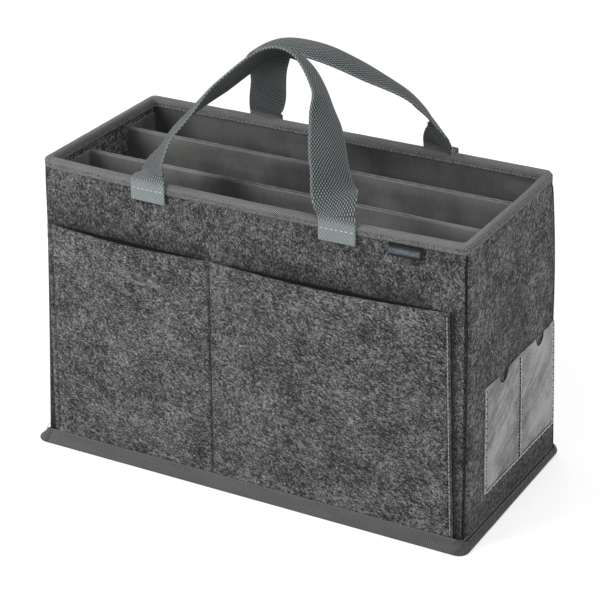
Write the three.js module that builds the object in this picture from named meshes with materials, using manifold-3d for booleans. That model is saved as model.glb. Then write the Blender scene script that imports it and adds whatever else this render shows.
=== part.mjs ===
// A felt box bag: a rectangular felt case with two sewn-in dividers, an open pocket on the
// front, a card pocket on the right end and two webbing handles that swing over the rim.
// Millimetres, +Z up, +X along the length, -Y towards the front pocket. The origin is the
// middle of the footprint, on the floor.

import * as THREE from 'three';
import { mergeVertices } from 'three/addons/utils/BufferGeometryUtils.js';
import Module from 'manifold-3d';

const wasm = await Module();
wasm.setup();

// The case, on the outer faces of its felt
const BODY_LENGTH = 400;
const BODY_DEPTH = 182;
const BODY_HEIGHT = 265;
const END_LEAN = 8; // each end wall leans in this far from floor to rim
const LONG_LEAN = 6; // the same for the front and back walls
const FRONT_BOW = 6; // the front wall bellies out this far at the middle of the rim
const CORNER_RADIUS = 3.5;

// Thickness of each sheet
const WALL_FELT = 4;
const BASE_FELT = 4;
const POCKET_FELT = 2.8;
const LINING_CLOTH = 0.8;
const COVER_CLOTH = 0.8;
const BASE_BOARD = 3;
const DIVIDER_BOARD = 2.5;
const TAPE = 1.2;
const WEBBING = 2;
const LEATHERETTE = 0.8;
const LABEL_FOLD = 1.2;

// Clearance between layers that are sewn together or rest on each other
const SEAT = 0.3;

// Tape over the rim and around the foot
const RIM_TAPE_DROP = 8.5;
const RIM_EDGE_RADIUS = 1;
const FOOT_TAPE_HEIGHT = 13;
const FOOT_OVERHANG_END = 5;
const FOOT_OVERHANG_LONG = 9;
const FOOT_CORNER_RADIUS = 10;
const FOOT_EDGE_RADIUS = 2.5;

// Dividers: middle planes, and the height of their tops above the floor
const FRONT_DIVIDER_Y = -23;
const BACK_DIVIDER_Y = 38;
const DIVIDER_TOP = 251;

// Front pocket: margins from the ends of the case, and the seam between its cells
const POCKET_LEFT_MARGIN = 10;
const POCKET_FOOT_MARGIN = 10; // right edge at the foot
const POCKET_MOUTH_MARGIN = 22; // right edge at the mouth
const POCKET_SEAM = -31;
const POCKET_BOTTOM = 1;
const POCKET_TOP = 207;
const POCKET_GAPE = 6.5; // how far each cell's mouth stands off the wall at its middle

// Card pocket on the right end wall
const CARD_FRONT = -57;
const CARD_BACK = 85;
const CARD_BOTTOM = 35.5;
const CARD_TOP = 131.5;
const THUMB_NOTCHES = [-22, 52];
const THUMB_RADIUS = 8.8;

// Folded label under the rim tape
const LABEL_MARGIN = 57.5; // its middle to the right end of the case
const LABEL_WIDTH = 28;
const LABEL_DROP = 10;

// Handles
const STRAP_WIDTH = 38;
const SEWN_WIDTH = 32;
const SEWN_DROP = 16.5; // sewn end below the top of the rim
const HINGE_RISE = 1; // the fold line lies this far above the rim
const START_LEAN = 4; // each strap rises from the fold line with this lean over the case
const FULL_LEAN = 39.5;
const LEAN_OVER = 34; // and bends to its full lean over this distance
const STRAP_START = 0.6; // the free strap starts this far from the fold line
const WIDEN_OVER = 25; // the strap reaches its full width this far up
const HOLD_FROM = 14; // up to here a turned strap is held back, its outer edge on the sheet
const HOLD_OVER = 34; // and it comes forward again over this distance

// Middle line of each strap on its leaning sheet: along the case, up from the fold line, and
// the turn of the strap's face in degrees
const FRONT_STRAP = [
  [-86.8, STRAP_START, 0], [-86.8, 4.5, 23], [-87.7, 12, 35], [-86, 20.7, 45],
  [-63.4, 63.7, 58.5], [-46.2, 89.5, 73], [-10.3, 126.4, 77.5], [18.4, 123.6, 86],
  [46.1, 97.3, 86], [55.5, 78.3, 69], [64.2, 57, 58], [71.4, 38, 53],
  [76.3, 22, 32], [82.6, 10.6, 8], [85, 4, 0], [85, STRAP_START, 0],
];
const BACK_STRAP = [
  [-78, STRAP_START, 0], [-78, 4.5, -8], [-76.3, 12, -15], [-69.6, 28, -17.7],
  [-61.7, 52.4, -8.7], [-53.1, 81.4, 14.4], [-29.8, 113.7, 44.3], [8.7, 113.3, 49.1],
  [42.7, 93.9, 45.8], [71.2, 67.3, 32.2], [81.9, 41.4, 32.1], [93.5, 25.5, 36],
  [92.6, 15, 34], [89.8, 8, 20], [88.9, 3.5, 6], [88.9, STRAP_START, 0],
];

// How finely curved pieces are divided
const WALL_STEPS = 8;
const WALL_ROWS = 6;
const CORNER_STEPS = 4;
const CELL_STEPS = 6;
const POCKET_ROWS = 5;
const NOTCH_STEPS = 6;
const STRAP_STEPS = 56;

const materials = {
  felt: new THREE.MeshStandardMaterial({ color: 0x47484a, roughness: 0.95, metalness: 0 }),
  pocketFelt: new THREE.MeshStandardMaterial({ color: 0x545557, roughness: 0.95, metalness: 0 }),
  tape: new THREE.MeshStandardMaterial({ color: 0x636465, roughness: 0.8, metalness: 0 }),
  cloth: new THREE.MeshStandardMaterial({ color: 0x555558, roughness: 0.6, metalness: 0 }),
  board: new THREE.MeshStandardMaterial({ color: 0x8a8378, roughness: 0.9, metalness: 0 }),
  webbing: new THREE.MeshStandardMaterial({ color: 0x5f686b, roughness: 0.75, metalness: 0 }),
  leatherette: new THREE.MeshStandardMaterial({ color: 0x8b8c8e, roughness: 0.5, metalness: 0 }),
  label: new THREE.MeshStandardMaterial({ color: 0x1d2126, roughness: 0.5, metalness: 0 }),
};

const bag = new THREE.Group();

function addPiece(name, geometry, material) {
  geometry.computeVertexNormals();
  const mesh = new THREE.Mesh(geometry, material);
  mesh.name = name;
  bag.add(mesh);
}

// Outer faces of the felt walls at height z. An inset is measured inwards from them.
const halfLength = (z) => BODY_LENGTH / 2 - (END_LEAN * z) / BODY_HEIGHT;
const halfDepth = (z) => BODY_DEPTH / 2 - (LONG_LEAN * z) / BODY_HEIGHT;

function frontBow(x, z) {
  const share = Math.min(Math.abs(x) / halfLength(z), 1);
  return FRONT_BOW * (z / BODY_HEIGHT) * (1 - share * share);
}

function longFace(side, x, z, inset) {
  const bow = side < 0 ? frontBow(x, z) : 0;
  return side * (halfDepth(z) + bow - inset);
}

// Joins rings with equal counts of points into one closed surface. The rings run
// counterclockwise about the way they follow each other. The two lists of faces close the
// first and last rings; without them the last ring joins the first.
function skin(rings, firstFaces, lastFaces = firstFaces) {
  const count = rings[0].length;
  const spans = firstFaces ? rings.length - 1 : rings.length;
  const index = [];
  for (let i = 0; i < spans; i += 1) {
    const here = i * count;
    const next = ((i + 1) % rings.length) * count;
    for (let j = 0; j < count; j += 1) {
      const k = (j + 1) % count;
      index.push(here + j, here + k, next + k);
      index.push(here + j, next + k, next + j);
    }
  }
  const last = (rings.length - 1) * count;
  for (const [a, b, c] of firstFaces ?? []) {
    index.push(a, c, b);
  }
  for (const [a, b, c] of lastFaces ?? []) {
    index.push(last + a, last + b, last + c);
  }
  const geometry = new THREE.BufferGeometry();
  geometry.setAttribute('position', new THREE.Float32BufferAttribute(rings.flat(2), 3));
  geometry.setIndex(index);
  return geometry;
}

function flatFaces(outline) {
  return THREE.ShapeUtils.triangulateShape(outline.map(([x, y]) => new THREE.Vector2(x, y)), []);
}

// Faces across a thin section whose points run up one side and down the other
function stripFaces(count) {
  const faces = [];
  for (let k = 0; k < count / 2 - 1; k += 1) {
    faces.push([k, k + 1, count - 2 - k]);
    faces.push([k, count - 2 - k, count - 1 - k]);
  }
  return faces;
}

// An upright solid whose plan outline may change with height
function prism(outlineAt, zLow, zHigh, rows = 1) {
  const rings = steps(zLow, zHigh, rows).map((z) => outlineAt(z).map(([x, y]) => [x, y, z]));
  const points = rings[0].map(([x, y]) => new THREE.Vector2(x, y));
  if (THREE.ShapeUtils.isClockWise(points)) {
    rings.forEach((ring) => ring.reverse());
  }
  return skin(rings, flatFaces(rings[0]), flatFaces(rings.at(-1)));
}

function block(x0, x1, y0, y1, zLow, zHigh) {
  return prism(() => [[x0, y0], [x1, y0], [x1, y1], [x0, y1]], zLow, zHigh);
}

function steps(from, to, count) {
  return Array.from({ length: count + 1 }, (_, i) => from + ((to - from) * i) / count);
}

function arc(cx, cy, radius, startDeg, endDeg, count) {
  return steps(startDeg, endDeg, count).map((deg) => {
    const angle = THREE.MathUtils.degToRad(deg);
    return [cx + radius * Math.cos(angle), cy + radius * Math.sin(angle)];
  });
}

// A sheet that follows the front (side -1) or back (side 1) wall between two insets
function longSheet(side, spanAt, outerInset, innerInset, zLow, zHigh) {
  return prism((z) => {
    const xs = spanAt(z);
    const outer = xs.map((x) => [x, longFace(side, x, z, outerInset)]);
    const inner = xs.map((x) => [x, longFace(side, x, z, innerInset)]);
    return [...outer, ...inner.reverse()];
  }, zLow, zHigh, WALL_ROWS);
}

function toSolid(geometry) {
  const bare = geometry.clone();
  bare.deleteAttribute('normal');
  const merged = mergeVertices(bare);
  const mesh = new wasm.Mesh({
    numProp: 3,
    vertProperties: merged.attributes.position.array,
    triVerts: Uint32Array.from(merged.index.array),
  });
  return new wasm.Manifold(mesh);
}

function toGeometry(solid) {
  const mesh = solid.getMesh();
  const geometry = new THREE.BufferGeometry();
  geometry.setAttribute('position', new THREE.BufferAttribute(mesh.vertProperties, 3));
  geometry.setIndex(new THREE.BufferAttribute(mesh.triVerts, 1));
  return geometry;
}

// Levels of the stack above the floor
const feltFoot = BASE_FELT + SEAT;
const boardTop = feltFoot + BASE_BOARD;
const floorClothLow = boardTop + SEAT;
const floorClothTop = floorClothLow + LINING_CLOTH;
const insideFoot = floorClothTop + SEAT;
const feltTop = BODY_HEIGHT - TAPE - SEAT;

// Insets of the layers inside the walls
const innerFace = WALL_FELT + SEAT;
const liningFace = innerFace + LINING_CLOTH + SEAT;
const insideHalfLength = (z) => halfLength(z) - innerFace;

const roundedCorner = Math.min(CORNER_RADIUS, WALL_FELT);

function feltLongWall(side) {
  return prism((z) => {
    const x = halfLength(z);
    const r = roundedCorner;
    const y = halfDepth(z);
    const outer = [
      ...arc(-x + r, -y + r, r, 180, 270, CORNER_STEPS),
      ...steps(-x, x, WALL_STEPS).slice(1, -1).map((at) => [at, -y]),
      ...arc(x - r, -y + r, r, 270, 360, CORNER_STEPS),
    ];
    const inner = steps(x, -x, WALL_STEPS).map((at) => [at, -y + WALL_FELT]);
    const bow = (at) => (side < 0 ? frontBow(at, z) : 0);
    return [...outer, ...inner].map(([at, depth]) => [at, -side * (depth - bow(at))]);
  }, feltFoot, feltTop, WALL_ROWS);
}

function feltEndWall(side) {
  return prism((z) => {
    const outer = side * halfLength(z);
    const inner = side * (halfLength(z) - WALL_FELT);
    const front = (x) => longFace(-1, x, z, innerFace);
    const back = longFace(1, 0, z, innerFace);
    return [[inner, front(inner)], [outer, front(outer)], [outer, back], [inner, back]];
  }, feltFoot, feltTop);
}

function baseFelt() {
  return prism((z) => {
    const x = halfLength(z);
    const y = halfDepth(z);
    const r = roundedCorner;
    return [
      ...arc(x - r, y - r, r, 0, 90, CORNER_STEPS),
      ...arc(-x + r, y - r, r, 90, 180, CORNER_STEPS),
      ...arc(-x + r, -y + r, r, 180, 270, CORNER_STEPS),
      ...arc(x - r, -y + r, r, 270, 360, CORNER_STEPS),
    ];
  }, 0, BASE_FELT);
}

function floorSheet(zLow, zHigh) {
  const x = halfLength(feltTop) - innerFace;
  const y = halfDepth(zHigh) - innerFace;
  return block(-x, x, -y, y, zLow, zHigh);
}

addPiece('base_felt_panel', baseFelt(), materials.felt);
addPiece('base_board', floorSheet(feltFoot, boardTop), materials.board);
addPiece('base_lining', floorSheet(floorClothLow, floorClothTop), materials.cloth);
addPiece('front_felt_panel', feltLongWall(-1), materials.felt);
addPiece('back_felt_panel', feltLongWall(1), materials.felt);
addPiece('left_felt_panel', feltEndWall(-1), materials.felt);
addPiece('right_felt_panel', feltEndWall(1), materials.felt);

function wallLining(side) {
  const spanAt = (z) => steps(-insideHalfLength(z), insideHalfLength(z), WALL_STEPS);
  return longSheet(side, spanAt, innerFace, innerFace + LINING_CLOTH, insideFoot, feltTop);
}

addPiece('front_wall_lining', wallLining(-1), materials.cloth);
addPiece('back_wall_lining', wallLining(1), materials.cloth);

// Bindings: a section is carried round the case. Each section point says how far it lies
// outside the felt on the end, front and back walls, its height, and its corner radius.
function bindingStations() {
  const stations = [];
  const corner = (sx, sy, startDeg) => {
    for (const deg of steps(startDeg, startDeg + 90, CORNER_STEPS)) {
      stations.push({ sx, sy, angle: THREE.MathUtils.degToRad(deg) });
    }
  };
  const along = (sy, from, to) => {
    for (const share of steps(from, to, WALL_STEPS).slice(1, -1)) {
      stations.push({ sy, share });
    }
  };
  along(-1, -1, 1);
  corner(1, -1, 270);
  corner(1, 1, 0);
  along(1, 1, -1);
  corner(-1, 1, 90);
  corner(-1, -1, 180);
  return stations;
}

function bindingPoint(station, point) {
  const { sx, sy, angle, share } = station;
  const hx = halfLength(point.z) + point.end;
  const hy = halfDepth(point.z) + (sy < 0 ? point.front : point.back);
  const r = point.radius;
  const x = angle === undefined ? share * (hx - r) : sx * (hx - r) + r * Math.cos(angle);
  const y = angle === undefined ? sy * hy : sy * (hy - r) + r * Math.sin(angle);
  const bow = sy < 0 ? frontBow(x, point.z) : 0;
  return [x, y - bow, point.z];
}

function binding(section) {
  return skin(bindingStations().map((station) => section.map((p) => bindingPoint(station, p))));
}

const even = (offset, z, radius) => ({ end: offset, front: offset, back: offset, z, radius });

function rimBinding() {
  const low = BODY_HEIGHT - RIM_TAPE_DROP;
  const outside = SEAT + TAPE;
  const turn = RIM_EDGE_RADIUS;
  const inner = (depth, z, radius) => ({
    end: -(WALL_FELT + depth),
    front: -(liningFace - SEAT + depth),
    back: -(liningFace - SEAT + depth),
    z,
    radius,
  });
  return binding([
    inner(SEAT, low, TAPE + turn),
    inner(outside, low, turn),
    inner(outside, BODY_HEIGHT - turn, turn),
    inner(outside - turn, BODY_HEIGHT, 2 * turn),
    even(outside - turn, BODY_HEIGHT, CORNER_RADIUS + outside - turn),
    even(outside, BODY_HEIGHT - turn, CORNER_RADIUS + outside),
    even(outside, low, CORNER_RADIUS + outside),
    even(SEAT, low, CORNER_RADIUS + SEAT),
    even(SEAT, BODY_HEIGHT - TAPE, CORNER_RADIUS + SEAT),
    inner(SEAT, BODY_HEIGHT - TAPE, TAPE + turn),
  ]);
}

const footFront = SEAT + POCKET_FELT + SEAT;

function footBinding() {
  const inside = (z) => ({ ...even(SEAT, z, CORNER_RADIUS + SEAT), front: footFront });
  const top = {
    end: SEAT + TAPE,
    front: footFront + TAPE,
    back: SEAT + TAPE,
    z: FOOT_TAPE_HEIGHT,
    radius: CORNER_RADIUS + SEAT + TAPE,
  };
  const outer = (back, z) => ({
    end: FOOT_OVERHANG_END - back,
    front: FOOT_OVERHANG_LONG - back,
    back: FOOT_OVERHANG_LONG - back,
    z,
    radius: FOOT_CORNER_RADIUS - back,
  });
  const edge = arc(0, 0, FOOT_EDGE_RADIUS, 0, 90, 3);
  return binding([
    inside(0),
    inside(FOOT_TAPE_HEIGHT),
    top,
    ...edge.map(([out, down]) => outer(FOOT_EDGE_RADIUS - out, FOOT_EDGE_RADIUS - down)),
  ]);
}

addPiece('rim_binding', rimBinding(), materials.tape);
addPiece('base_binding', footBinding(), materials.tape);

// Dividers: a stiff board in a cloth sleeve that is open at the foot. At both ends the
// sleeve turns and runs along the end wall to the nearer long wall.
const sleeveHalf = DIVIDER_BOARD / 2 + SEAT + COVER_CLOTH;
const boardHalfLength = (z) => insideHalfLength(z) - COVER_CLOTH - SEAT;

function dividerCover(side, y) {
  const shell = toSolid(prism((z) => {
    const outer = insideHalfLength(z);
    const inner = outer - COVER_CLOTH;
    const wall = longFace(side, outer, z, liningFace);
    const near = y + side * sleeveHalf;
    const far = y - side * sleeveHalf;
    return [
      [-outer, wall], [-inner, wall], [-inner, near], [inner, near],
      [inner, wall], [outer, wall], [outer, far], [-outer, far],
    ];
  }, insideFoot, DIVIDER_TOP));
  const room = toSolid(prism((z) => {
    const x = boardHalfLength(z) + SEAT;
    const half = DIVIDER_BOARD / 2 + SEAT;
    return [[-x, y - half], [x, y - half], [x, y + half], [-x, y + half]];
  }, insideFoot - SEAT, DIVIDER_TOP - COVER_CLOTH));
  return toGeometry(shell.subtract(room));
}

function dividerBoard(y) {
  return prism((z) => {
    const x = boardHalfLength(z);
    const half = DIVIDER_BOARD / 2;
    return [[-x, y - half], [x, y - half], [x, y + half], [-x, y + half]];
  }, insideFoot, DIVIDER_TOP - COVER_CLOTH - SEAT);
}

for (const [name, side, y] of [['front', -1, FRONT_DIVIDER_Y], ['back', 1, BACK_DIVIDER_Y]]) {
  addPiece(`${name}_divider_board`, dividerBoard(y), materials.board);
  addPiece(`${name}_divider_cover`, dividerCover(side, y), materials.cloth);
}

// Front pocket: one felt sheet, sewn down at both ends, at the seam between its two cells
// and at the foot. Each cell's mouth stands off the wall.
function pocketX(column, z) {
  const fall = (POCKET_TOP - z) / (POCKET_TOP - POCKET_BOTTOM);
  const right = THREE.MathUtils.lerp(POCKET_MOUTH_MARGIN, POCKET_FOOT_MARGIN, fall);
  const end = column < 0 ? POCKET_LEFT_MARGIN - BODY_LENGTH / 2 : BODY_LENGTH / 2 - right;
  return POCKET_SEAM + (end - POCKET_SEAM) * Math.abs(column);
}

function pocketGape(column, z) {
  const rise = Math.max(z - FOOT_TAPE_HEIGHT, 0) / (POCKET_TOP - FOOT_TAPE_HEIGHT);
  return POCKET_GAPE * rise * Math.sin(Math.PI * Math.abs(column));
}

function pocketPanel() {
  const levels = [POCKET_BOTTOM, ...steps(FOOT_TAPE_HEIGHT, POCKET_TOP, POCKET_ROWS)];
  const face = (column, z, stand) => {
    const x = pocketX(column, z);
    return [x, longFace(-1, x, z, -(SEAT + stand + pocketGape(column, z))), z];
  };
  const rings = steps(-1, 1, 2 * CELL_STEPS).map((column) => [
    ...levels.map((z) => face(column, z, 0)),
    ...levels.map((z) => face(column, z, POCKET_FELT)).reverse(),
  ]);
  return skin(rings, stripFaces(rings[0].length));
}

addPiece('front_pocket_panel', pocketPanel(), materials.pocketFelt);

// Card pocket: a thin sheet on the right end wall with two thumb notches in its top edge
function cardPocket() {
  const notches = [...THUMB_NOTCHES].reverse();
  const outline = [
    [CARD_FRONT, CARD_BOTTOM],
    [CARD_BACK, CARD_BOTTOM],
    [CARD_BACK, CARD_TOP],
    ...notches.flatMap((y) => arc(y, CARD_TOP, THUMB_RADIUS, 0, -180, NOTCH_STEPS)),
    [CARD_FRONT, CARD_TOP],
  ];
  const rings = [SEAT, SEAT + LEATHERETTE].map((stand) =>
    outline.map(([y, z]) => [halfLength(z) + stand, y, z]));
  return skin(rings, flatFaces(outline));
}

addPiece('card_pocket_sheet', cardPocket(), materials.leatherette);

function labelLoop() {
  const top = BODY_HEIGHT - RIM_TAPE_DROP - SEAT;
  const middle = BODY_LENGTH / 2 - LABEL_MARGIN;
  const ends = [middle - LABEL_WIDTH / 2, middle + LABEL_WIDTH / 2];
  return longSheet(-1, () => steps(...ends, 2), -SEAT - LABEL_FOLD, -SEAT, top - LABEL_DROP, top);
}

addPiece('label_loop', labelLoop(), materials.label);

// Handles: each end is sewn flat over the rim tape, and the strap folds over at the rim
const sewnStand = SEAT + TAPE + SEAT;
const hingeHeight = BODY_HEIGHT + HINGE_RISE;

function hingeDepth(side, stations) {
  const stand = sewnStand + WEBBING + SEAT;
  const depths = [stations[0], stations.at(-1)].map(([x]) => longFace(side, x, BODY_HEIGHT, -stand));
  return (depths[0] + depths[1]) / 2;
}

function sewnEnd(side, [middle]) {
  const spanAt = () => steps(middle - SEWN_WIDTH / 2, middle + SEWN_WIDTH / 2, 2);
  const low = BODY_HEIGHT - SEWN_DROP;
  const high = hingeHeight - SEAT;
  return longSheet(side, spanAt, -(sewnStand + WEBBING), -sewnStand, low, high);
}

function strapWidth(distance, length) {
  const fromEnd = Math.min(distance, length - distance);
  return THREE.MathUtils.lerp(SEWN_WIDTH, STRAP_WIDTH, Math.min(fromEnd / WIDEN_OVER, 1));
}

// Where a point this far up the leaning sheet lies, inwards and up from the fold line, and
// the sheet's lean there
function leaningSheet(distance) {
  const start = THREE.MathUtils.degToRad(START_LEAN);
  const bend = (THREE.MathUtils.degToRad(FULL_LEAN) - start) / LEAN_OVER;
  const lean = start + bend * Math.min(distance, LEAN_OVER);
  const straight = Math.max(distance - LEAN_OVER, 0);
  const inward = (Math.cos(start) - Math.cos(lean)) / bend + straight * Math.sin(lean);
  const rise = (Math.sin(lean) - Math.sin(start)) / bend + straight * Math.cos(lean);
  return { lean, inward, rise };
}

function heldShare(distance) {
  return 1 - THREE.MathUtils.smoothstep(distance, HOLD_FROM, HOLD_FROM + HOLD_OVER);
}

function strap(side, stations) {
  const path = new THREE.CatmullRomCurve3(stations.map(([x, up]) => new THREE.Vector3(x, up, 0)));
  const turns = new THREE.CatmullRomCurve3(stations.map(([, , turn]) => new THREE.Vector3(turn)));
  const length = path.getLength();
  const rings = steps(0, 1, STRAP_STEPS).map((share) => {
    const at = path.getPointAt(share);
    const way = path.getTangentAt(share);
    const turn = THREE.MathUtils.degToRad(turns.getPoint(path.getUtoTmapping(share)).x);
    const { lean, inward, rise } = leaningSheet(at.y);
    const out = new THREE.Vector3(0, side * Math.cos(lean), Math.sin(lean));
    const inSheet = (x, u) =>
      new THREE.Vector3(x, -side * u * Math.sin(lean), u * Math.cos(lean));
    const fold = hingeDepth(side, stations) - side * inward;
    const face = inSheet(-way.y, way.x).multiplyScalar(Math.sin(turn));
    face.addScaledVector(out, Math.cos(turn));
    const halfWidth = strapWidth(share * length, length) / 2;
    const held = halfWidth * Math.abs(Math.sin(turn)) * heldShare(at.y);
    const centre = new THREE.Vector3(at.x, fold, hingeHeight + rise);
    centre.addScaledVector(out, -(SEAT + WEBBING / 2 + held));
    const across = face.clone().cross(inSheet(way.x, way.y)).multiplyScalar(halfWidth);
    face.multiplyScalar(WEBBING / 2);
    const corners = [[-1, -1], [1, -1], [1, 1], [-1, 1]];
    return corners.map(([a, f]) =>
      centre.clone().addScaledVector(across, a).addScaledVector(face, f).toArray());
  });
  return skin(rings, [[0, 1, 2], [0, 2, 3]]);
}

for (const [name, side, stations] of [['front', -1, FRONT_STRAP], ['back', 1, BACK_STRAP]]) {
  addPiece(`${name}_handle_strap`, strap(side, stations), materials.webbing);
  addPiece(`${name}_handle_left_end`, sewnEnd(side, stations[0]), materials.webbing);
  addPiece(`${name}_handle_right_end`, sewnEnd(side, stations.at(-1)), materials.webbing);
}

export default bag;
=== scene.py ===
import math

import bpy
import numpy as np
from mathutils import Matrix, Vector, noise

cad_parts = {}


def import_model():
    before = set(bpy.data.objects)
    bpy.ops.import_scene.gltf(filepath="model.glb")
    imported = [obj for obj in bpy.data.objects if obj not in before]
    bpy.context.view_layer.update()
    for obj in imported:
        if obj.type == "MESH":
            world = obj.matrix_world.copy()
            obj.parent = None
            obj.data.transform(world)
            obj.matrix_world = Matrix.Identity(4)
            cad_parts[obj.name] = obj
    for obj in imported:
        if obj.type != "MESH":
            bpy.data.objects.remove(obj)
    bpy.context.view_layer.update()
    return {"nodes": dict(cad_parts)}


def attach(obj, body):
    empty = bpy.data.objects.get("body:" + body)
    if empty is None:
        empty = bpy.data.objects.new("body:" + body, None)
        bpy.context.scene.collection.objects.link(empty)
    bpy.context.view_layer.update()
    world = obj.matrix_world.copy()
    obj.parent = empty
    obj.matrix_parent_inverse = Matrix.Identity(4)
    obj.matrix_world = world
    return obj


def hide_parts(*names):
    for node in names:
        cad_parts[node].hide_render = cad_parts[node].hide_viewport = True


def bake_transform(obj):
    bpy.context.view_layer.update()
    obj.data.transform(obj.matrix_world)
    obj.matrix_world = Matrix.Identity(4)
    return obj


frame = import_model()

MM = 0.001

# The case, on the outer faces of its felt
BODY_LENGTH = 400
BODY_DEPTH = 182
BODY_HEIGHT = 265
END_LEAN = 8
LONG_LEAN = 6
FRONT_BOW = 6
CORNER_RADIUS = 3.5

WALL_FELT = 4
BASE_FELT = 4
POCKET_FELT = 2.8
CLOTH = 0.8
BASE_BOARD = 3
DIVIDER_BOARD = 2.5
TAPE = 1.2
WEBBING = 2
LEATHERETTE = 0.8
LABEL_FOLD = 1.2
SEAT = 0.3

RIM_TAPE_DROP = 8.5
FOOT_TAPE_HEIGHT = 13
FOOT_OVERHANG_END = 5
FOOT_OVERHANG_LONG = 9
FOOT_CORNER_RADIUS = 10
FOOT_EDGE_RADIUS = 2.5
# How far down the slope of the foot tape, and how far it bulges there
FOOT_BULGES = ((0, 0), (0.12, 0.1), (0.28, -0.25), (0.45, 0.05), (0.62, 0.25), (0.8, 0.25), (0.92, 0.1))

# The groove where two walls meet: how deep, how far from the corner and how wide
GROOVE_DEPTH = 2.6
GROOVE_AT = 1.45
GROOVE_WIDTH = 0.24
WALL_STEPS = 70
CORNER_STEPS = 12

FRONT_DIVIDER_Y = -23
BACK_DIVIDER_Y = 38
DIVIDER_TOP = 251

POCKET_SEAM = -31
POCKET_LEFT = -190
POCKET_RIGHT = 180.5
POCKET_FLARE = 10.5  # how much further right the pocket reaches at its foot
POCKET_BOTTOM = 1
POCKET_TOP = 207
POCKET_GAPE = 6.5

CARD_FRONT = -57
CARD_BACK = 85
CARD_BOTTOM = 35.5
CARD_TOP = 131.5
CARD_SEAM = 13.5
THUMB_NOTCHES = (-22, 52)
THUMB_RADIUS = 8.8

LABEL_MIDDLE = 142.5
LABEL_WIDTH = 28
LABEL_DROP = 10

STRAP_WIDTH = 38
SEWN_WIDTH = 32
SEWN_DROP = 16.5
HINGE_RISE = 1
START_LEAN = 4
FULL_LEAN = 39.5
LEAN_OVER = 34
WIDEN_OVER = 25
HOLD_FROM = 14
HOLD_OVER = 34
STRAP_CURL = {-1: 0.38, 1: 0.55}  # half angle of the section's curl, front and back
CURL_START = 14
CURL_OVER = 50
# Along the wall, up the strap's sheet, and the webbing's turn in degrees
FRONT_STRAP = [
    (-86.8, 0.6, 0), (-86.8, 4.5, 23), (-87.7, 12, 35), (-86, 20.7, 45),
    (-63.4, 63.7, 58.5), (-46.2, 89.5, 73), (-10.3, 126.4, 77.5), (18.4, 123.6, 86),
    (46.1, 97.3, 86), (55.5, 78.3, 69), (64.2, 57, 58), (71.4, 38, 53),
    (76.3, 22, 32), (82.6, 10.6, 8), (85, 4, 0), (85, 0.6, 0),
]
BACK_STRAP = [
    (-78, 0.6, 0), (-78, 4.5, -8), (-76.3, 12, -15), (-69.6, 28, -17.7),
    (-61.7, 52.4, -8.7), (-53.1, 81.4, 14.4), (-29.8, 113.7, 44.3), (8.7, 113.3, 49.1),
    (42.7, 93.9, 45.8), (71.2, 67.3, 32.2), (81.9, 41.4, 32.1), (93.5, 25.5, 36),
    (92.6, 15, 34), (89.8, 8, 20), (88.9, 3.5, 6), (88.9, 0.6, 0),
]

HANDLES = (("front_handle", -1, FRONT_STRAP), ("back_handle", 1, BACK_STRAP))

TWILL_PITCH = 2.3
RIB_PITCH = 1.8
PICK_ALONG = 3.6
PICK_ACROSS = 2.4

STITCH_SIDES = 6
STITCH_SINK = 0.1
# Share of a stitch's length, then its girth and rise in multiples of its thickness
STITCH_SECTIONS = ((0, 0.35, -1.0), (0.12, 0.85, -0.2), (0.5, 1.0, 0.15), (0.88, 0.85, -0.2),
                   (1, 0.35, -1.0))
EDGE_ANGLES = (0.52, 1.05, 1.571)  # in radians, round a sheet's cut edge

INNER_FACE = WALL_FELT + SEAT
LINING_FACE = INNER_FACE + CLOTH + SEAT
FLOOR_CLOTH_LOW = BASE_FELT + SEAT + BASE_BOARD + SEAT
INSIDE_FOOT = FLOOR_CLOTH_LOW + CLOTH + SEAT
FELT_TOP = BODY_HEIGHT - TAPE - SEAT
HINGE_HEIGHT = BODY_HEIGHT + HINGE_RISE
SEWN_STAND = SEAT + TAPE + SEAT
SLEEVE_HALF = DIVIDER_BOARD / 2 + SEAT + CLOTH

# The camera that was fitted to the photo; turns in degrees
CAMERA_TURNS = (28.52, 25.5, -0.17)
CAMERA_PLACE = (787.3, -1444.7, 925.7)
FOCAL_PIXELS = 2156.8
PHOTO_WIDTH = 600
SENSOR_WIDTH = 36


# Camera, light and floor

def camera():
    yaw, pitch, roll = (math.radians(a) for a in CAMERA_TURNS)
    ahead = Vector((-math.sin(yaw) * math.cos(pitch), math.cos(yaw) * math.cos(pitch),
                    -math.sin(pitch)))
    level = Vector((math.cos(yaw), math.sin(yaw), 0))
    upward = level.cross(ahead)
    right = level * math.cos(roll) + upward * math.sin(roll)
    up = upward * math.cos(roll) - level * math.sin(roll)
    data = bpy.data.cameras.new("camera")
    data.sensor_fit = "HORIZONTAL"
    data.sensor_width = SENSOR_WIDTH
    data.lens = FOCAL_PIXELS / PHOTO_WIDTH * SENSOR_WIDTH
    data.clip_start, data.clip_end = 0.1, 20
    eye = bpy.data.objects.new("camera", data)
    bpy.context.collection.objects.link(eye)
    turn = Matrix((right, up, -ahead)).transposed().to_4x4()
    eye.matrix_world = Matrix.Translation(Vector(CAMERA_PLACE) * MM) @ turn
    bpy.context.scene.camera = eye


def lamp(name, place, size, power, aim=(0, 0, 0.13)):
    data = bpy.data.lights.new(name, "AREA")
    data.shape = "DISK"
    data.size = size
    data.energy = power
    obj = bpy.data.objects.new(name, data)
    bpy.context.collection.objects.link(obj)
    obj.location = place
    obj.rotation_euler = (Vector(place) - Vector(aim)).to_track_quat("Z", "Y").to_euler()


# Materials

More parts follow.
